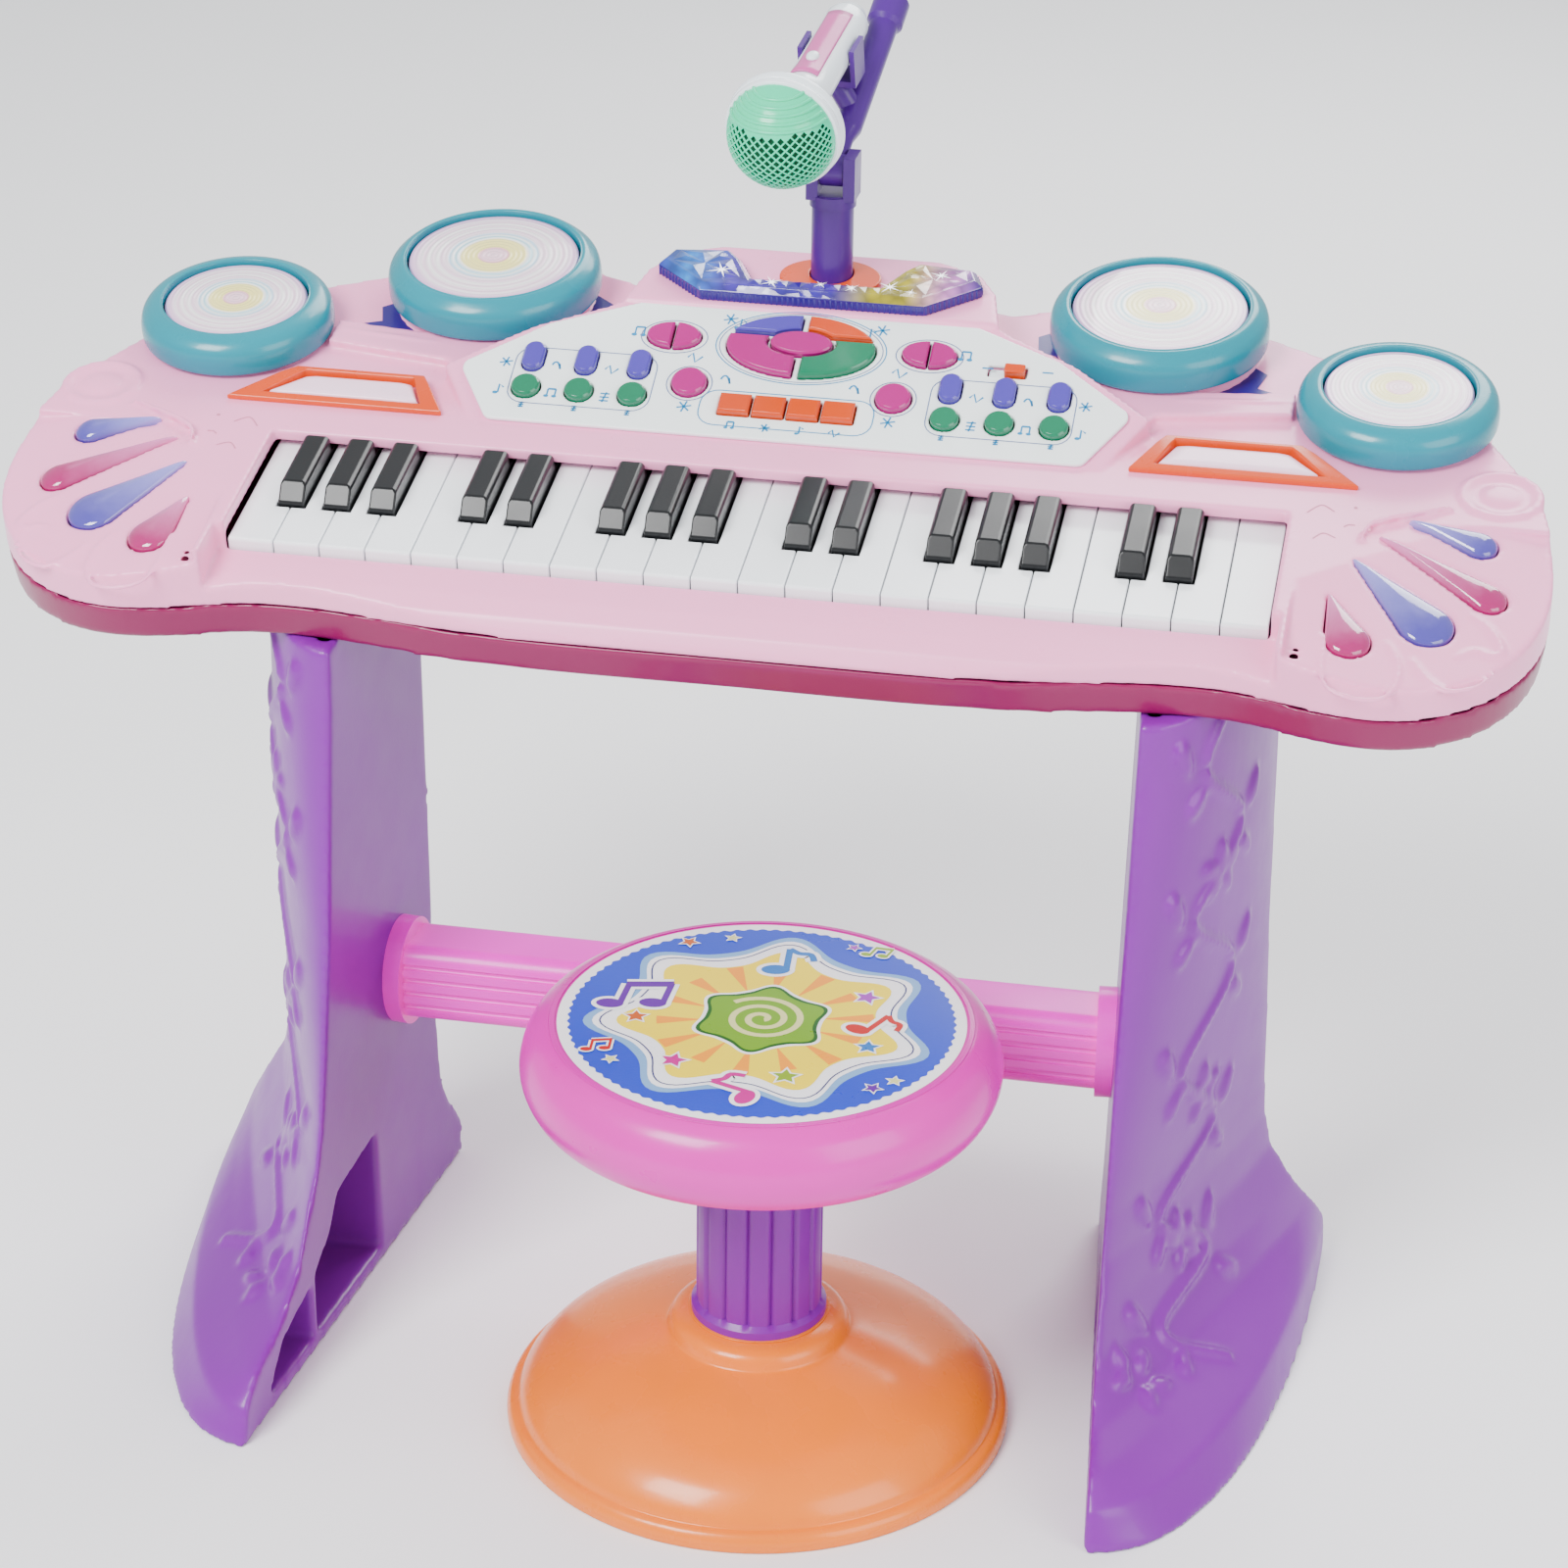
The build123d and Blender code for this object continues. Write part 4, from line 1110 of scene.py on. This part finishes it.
def note(sheet, x, y, size, paint, flags=1, turn=0.0):
    """A music note with a white edge, from its head, stem and flag or beam."""
    rotation = Matrix.Rotation(math.radians(turn), 2)

    def put(px, py):
        q = rotation @ Vector((px, py)) * size
        return (x + q.x, y + q.y)

    heads = [(-0.9, -0.9)] + ([(1.0, -0.6)] if flags == 2 else [])
    for grow, colour, height in ((0.22, "decal_white", 0.42), (0.0, paint, 0.5)):
        for hx, hy in heads:
            outline = [put(hx + px, hy + py) for px, py in circle(0, 0, 0.62 + grow, 0.42 + grow, count=20)]
            sheet.patch(outline, colour, height, put(hx, hy))
            stem = [put(hx + 0.45, hy), put(hx + 0.6, 1.0 + 0.3 * (hx > 0))]
            sheet.line(stem, (0.3 + 2 * grow) * size, colour, height + 0.02)
        if flags == 2:
            sheet.line([put(-0.4, 0.95), put(1.7, 1.25)], (0.5 + 2 * grow) * size, colour, height + 0.04)
        else:
            hook = [put(*p) for p in ((-0.3, 1.0), (0.1, 0.6), (0.6, 0.5), (0.75, -0.1))]
            sheet.line([(p.x, p.y) for p in smooth_line(hook, 4)], (0.3 + 2 * grow) * size, colour,
                       height + 0.04)


def small_star(sheet, x, y, size, paint, turn):
    for grow, colour, height in ((1.35, "decal_white", 0.4), (1.0, paint, 0.48)):
        sheet.patch(star(x, y, size * grow, size * 0.48 * grow, 5, turn), colour, height, (x, y))


def make_decal():
    """The round sticker on the seat: a sun on blue, with notes, small stars and a swirl."""
    sheet = Print()
    sheet.patch(circle(0, 0, 77.6, count=128), "decal_white", 0.0)
    edge = [(73.2 + 0.5 * math.sin(90 * a), a) for a in [2 * math.pi * i / 720 for i in range(720)]]
    sheet.patch([(r * math.cos(a), r * math.sin(a)) for r, a in edge], "decal_blue", 0.06)
    sheet.patch(lobed(59, 6.5), "decal_sky", 0.12)
    sheet.patch(lobed(55.5, 6.5), "decal_white", 0.18)
    sheet.line(lobed(53, 6.2), 0.6, "decal_navy", 0.24, closed=True)
    sheet.patch(lobed(47, 6.0), "decal_yellow", 0.27)
    for ray in range(14):
        a, half = 2 * math.pi * (ray + 0.5) / 14, math.radians(4.5)
        reach = 42.5 - 2.5 * (ray % 2)
        wedge = [(reach * math.cos(a - half), reach * math.sin(a - half)), (reach * math.cos(a),
                                                                            reach * math.sin(a)),
                 (reach * math.cos(a + half), reach * math.sin(a + half)), (22 * math.cos(a),
                                                                            22 * math.sin(a))]
        sheet.patch(wedge, "decal_amber", 0.3, (34 * math.cos(a), 34 * math.sin(a)))
    sheet.patch(lobed(24.5, 2.4, 6, 30), "decal_white", 0.32)
    sheet.patch(lobed(23, 2.4, 6, 30), "decal_dark", 0.36)
    sheet.patch(lobed(21.4, 2.4, 6, 30), "decal_green", 0.4)
    swirl = [(1.2 + 15.5 * i / 90, math.radians(-40 + 10 * i)) for i in range(91)]
    sheet.line([(r * math.cos(a), r * math.sin(a)) for r, a in swirl], 2.6, "decal_cream", 0.46)
    note(sheet, -52, 8, 8.5, "decal_purple", 2, 4)
    note(sheet, 46, 4, 8, "decal_red", 1, -20)
    note(sheet, 4, 49, 9, "decal_azure", 1, 10)
    note(sheet, 0, -50, 8.5, "decal_rose", 1, 75)
    note(sheet, -57, -33, 3.6, "decal_red", 2, 10)
    note(sheet, 33, 62, 3.4, "decal_lime", 2, -10)
    for x, y, size, paint, turn in ((36, 25, 5, "decal_lilac", 80), (43, -13, 4.6, "decal_azure", 95),
                                    (-47, -8, 4.4, "decal_orange", 100), (-26, -38, 5.2, "decal_rose", 85),
                                    (17, -41, 5.2, "decal_lime", 95), (-24, 62, 2.8, "decal_cream", 90),
                                    (-40, 55, 3.6, "decal_orange", 70), (24, 64, 2.6, "decal_lilac", 70),
                                    (-49, -42, 2.8, "decal_cream", 60), (57, -36, 3.0, "decal_cream", 90),
                                    (50, -43, 3.4, "decal_purple", 70)):
        small_star(sheet, x, y, size, paint, turn)
    sheet.make("seat_sticker", STOOL @ shift(0, 0, SEAT_Z - 0.36), "stool")


# ---- hidden hardware ----
def make_hidden():
    for node, paint in (("electronics", "circuit"), ("screws", "steel")):
        mesh = NODES[node].data
        mesh.materials.clear()
        mesh.materials.append(PAINT[paint])


# ---- stage ----
def area_light(name, place, target, size, power, colour=(1, 1, 1)):
    lamp = bpy.data.lights.new(name, "AREA")
    lamp.energy = power
    lamp.size = size
    lamp.color = colour
    holder = bpy.data.objects.new(name, lamp)
    holder.location = place
    holder.rotation_mode = "QUATERNION"
    holder.rotation_quaternion = (Vector(target) - Vector(place)).to_track_quat("-Z", "Y")
    bpy.context.scene.collection.objects.link(holder)


def make_stage():
    material, nodes, link, shader = new_material("floor_pale")
    here = nodes.new("ShaderNodeTexCoord").outputs["Object"]
    link(ramp(nodes, link, noise(nodes, link, here, 3, 2), [(0.3, (0.90, 0.90, 0.91, 1)), (0.7, (0.92,
                                                                                                 0.92, 0.93, 1))]),
         shader.inputs["Base Color"])
    shader.inputs["Roughness"].default_value = 0.7
    mesh = bpy.data.meshes.new("floor")
    size = 12
    mesh.from_pydata([(-size, -size, 0), (size, -size, 0), (size, size, 0), (-size, size, 0)], [], [(0,
                                                                                                     1, 2, 3)])
    mesh.materials.append(material)
    floor = bpy.data.objects.new("floor", mesh)
    floor.location.z = -0.0004
    bpy.context.scene.collection.objects.link(floor)
    world = bpy.data.worlds.new("studio")
    bpy.context.scene.world = world
    world.use_nodes = True
    world.node_tree.nodes["Background"].inputs["Color"].default_value = (0.95, 0.97, 1.0, 1)
    world.node_tree.nodes["Background"].inputs["Strength"].default_value = 0.9
    middle = (0, 0, 0.3)
    area_light("key", (-0.9, -1.5, 1.9), middle, 1.0, 85)
    area_light("fill", (1.7, -1.1, 1.0), middle, 1.3, 26)
    area_light("back", (0.4, 1.6, 1.6), middle, 1.2, 40)


def make_camera():
    """The photograph's viewpoint: a long lens from the front right, above the keys."""
    azimuth, elevation, roll = (math.radians(a) for a in (10.714, 25.624, 0.7685))
    distance, target = 1462.32, Vector((42.6, -164.2, 300.0))
    back = Vector((math.sin(azimuth) * math.cos(elevation), -math.cos(azimuth) * math.cos(elevation),
                   math.sin(elevation)))
    level = Vector((math.cos(azimuth), math.sin(azimuth), 0))
    up = back.cross(level)
    right = level * math.cos(roll) + up * math.sin(roll)
    above = up * math.cos(roll) - level * math.sin(roll)
    lens = bpy.data.cameras.new("camera")
    lens.sensor_width = 36
    lens.lens = 95.19
    lens.clip_end = 50
    camera = bpy.data.objects.new("camera", lens)
    camera.matrix_world = shift(*(target + back * distance)) @ Matrix((right, above,
                                                                       back)).transposed().to_4x4()
    bpy.context.scene.collection.objects.link(camera)
    bpy.context.scene.camera = camera


make_camera()
make_stage()
make_upper_shell()
make_lower_shell()
make_lobe_marks()
make_insets()
make_trims()
make_panel()
make_buttons()
make_petals()
make_keys()
make_drums()
make_light_bar()
make_stand()
make_microphone()
make_legs()
make_stool()
make_hidden()
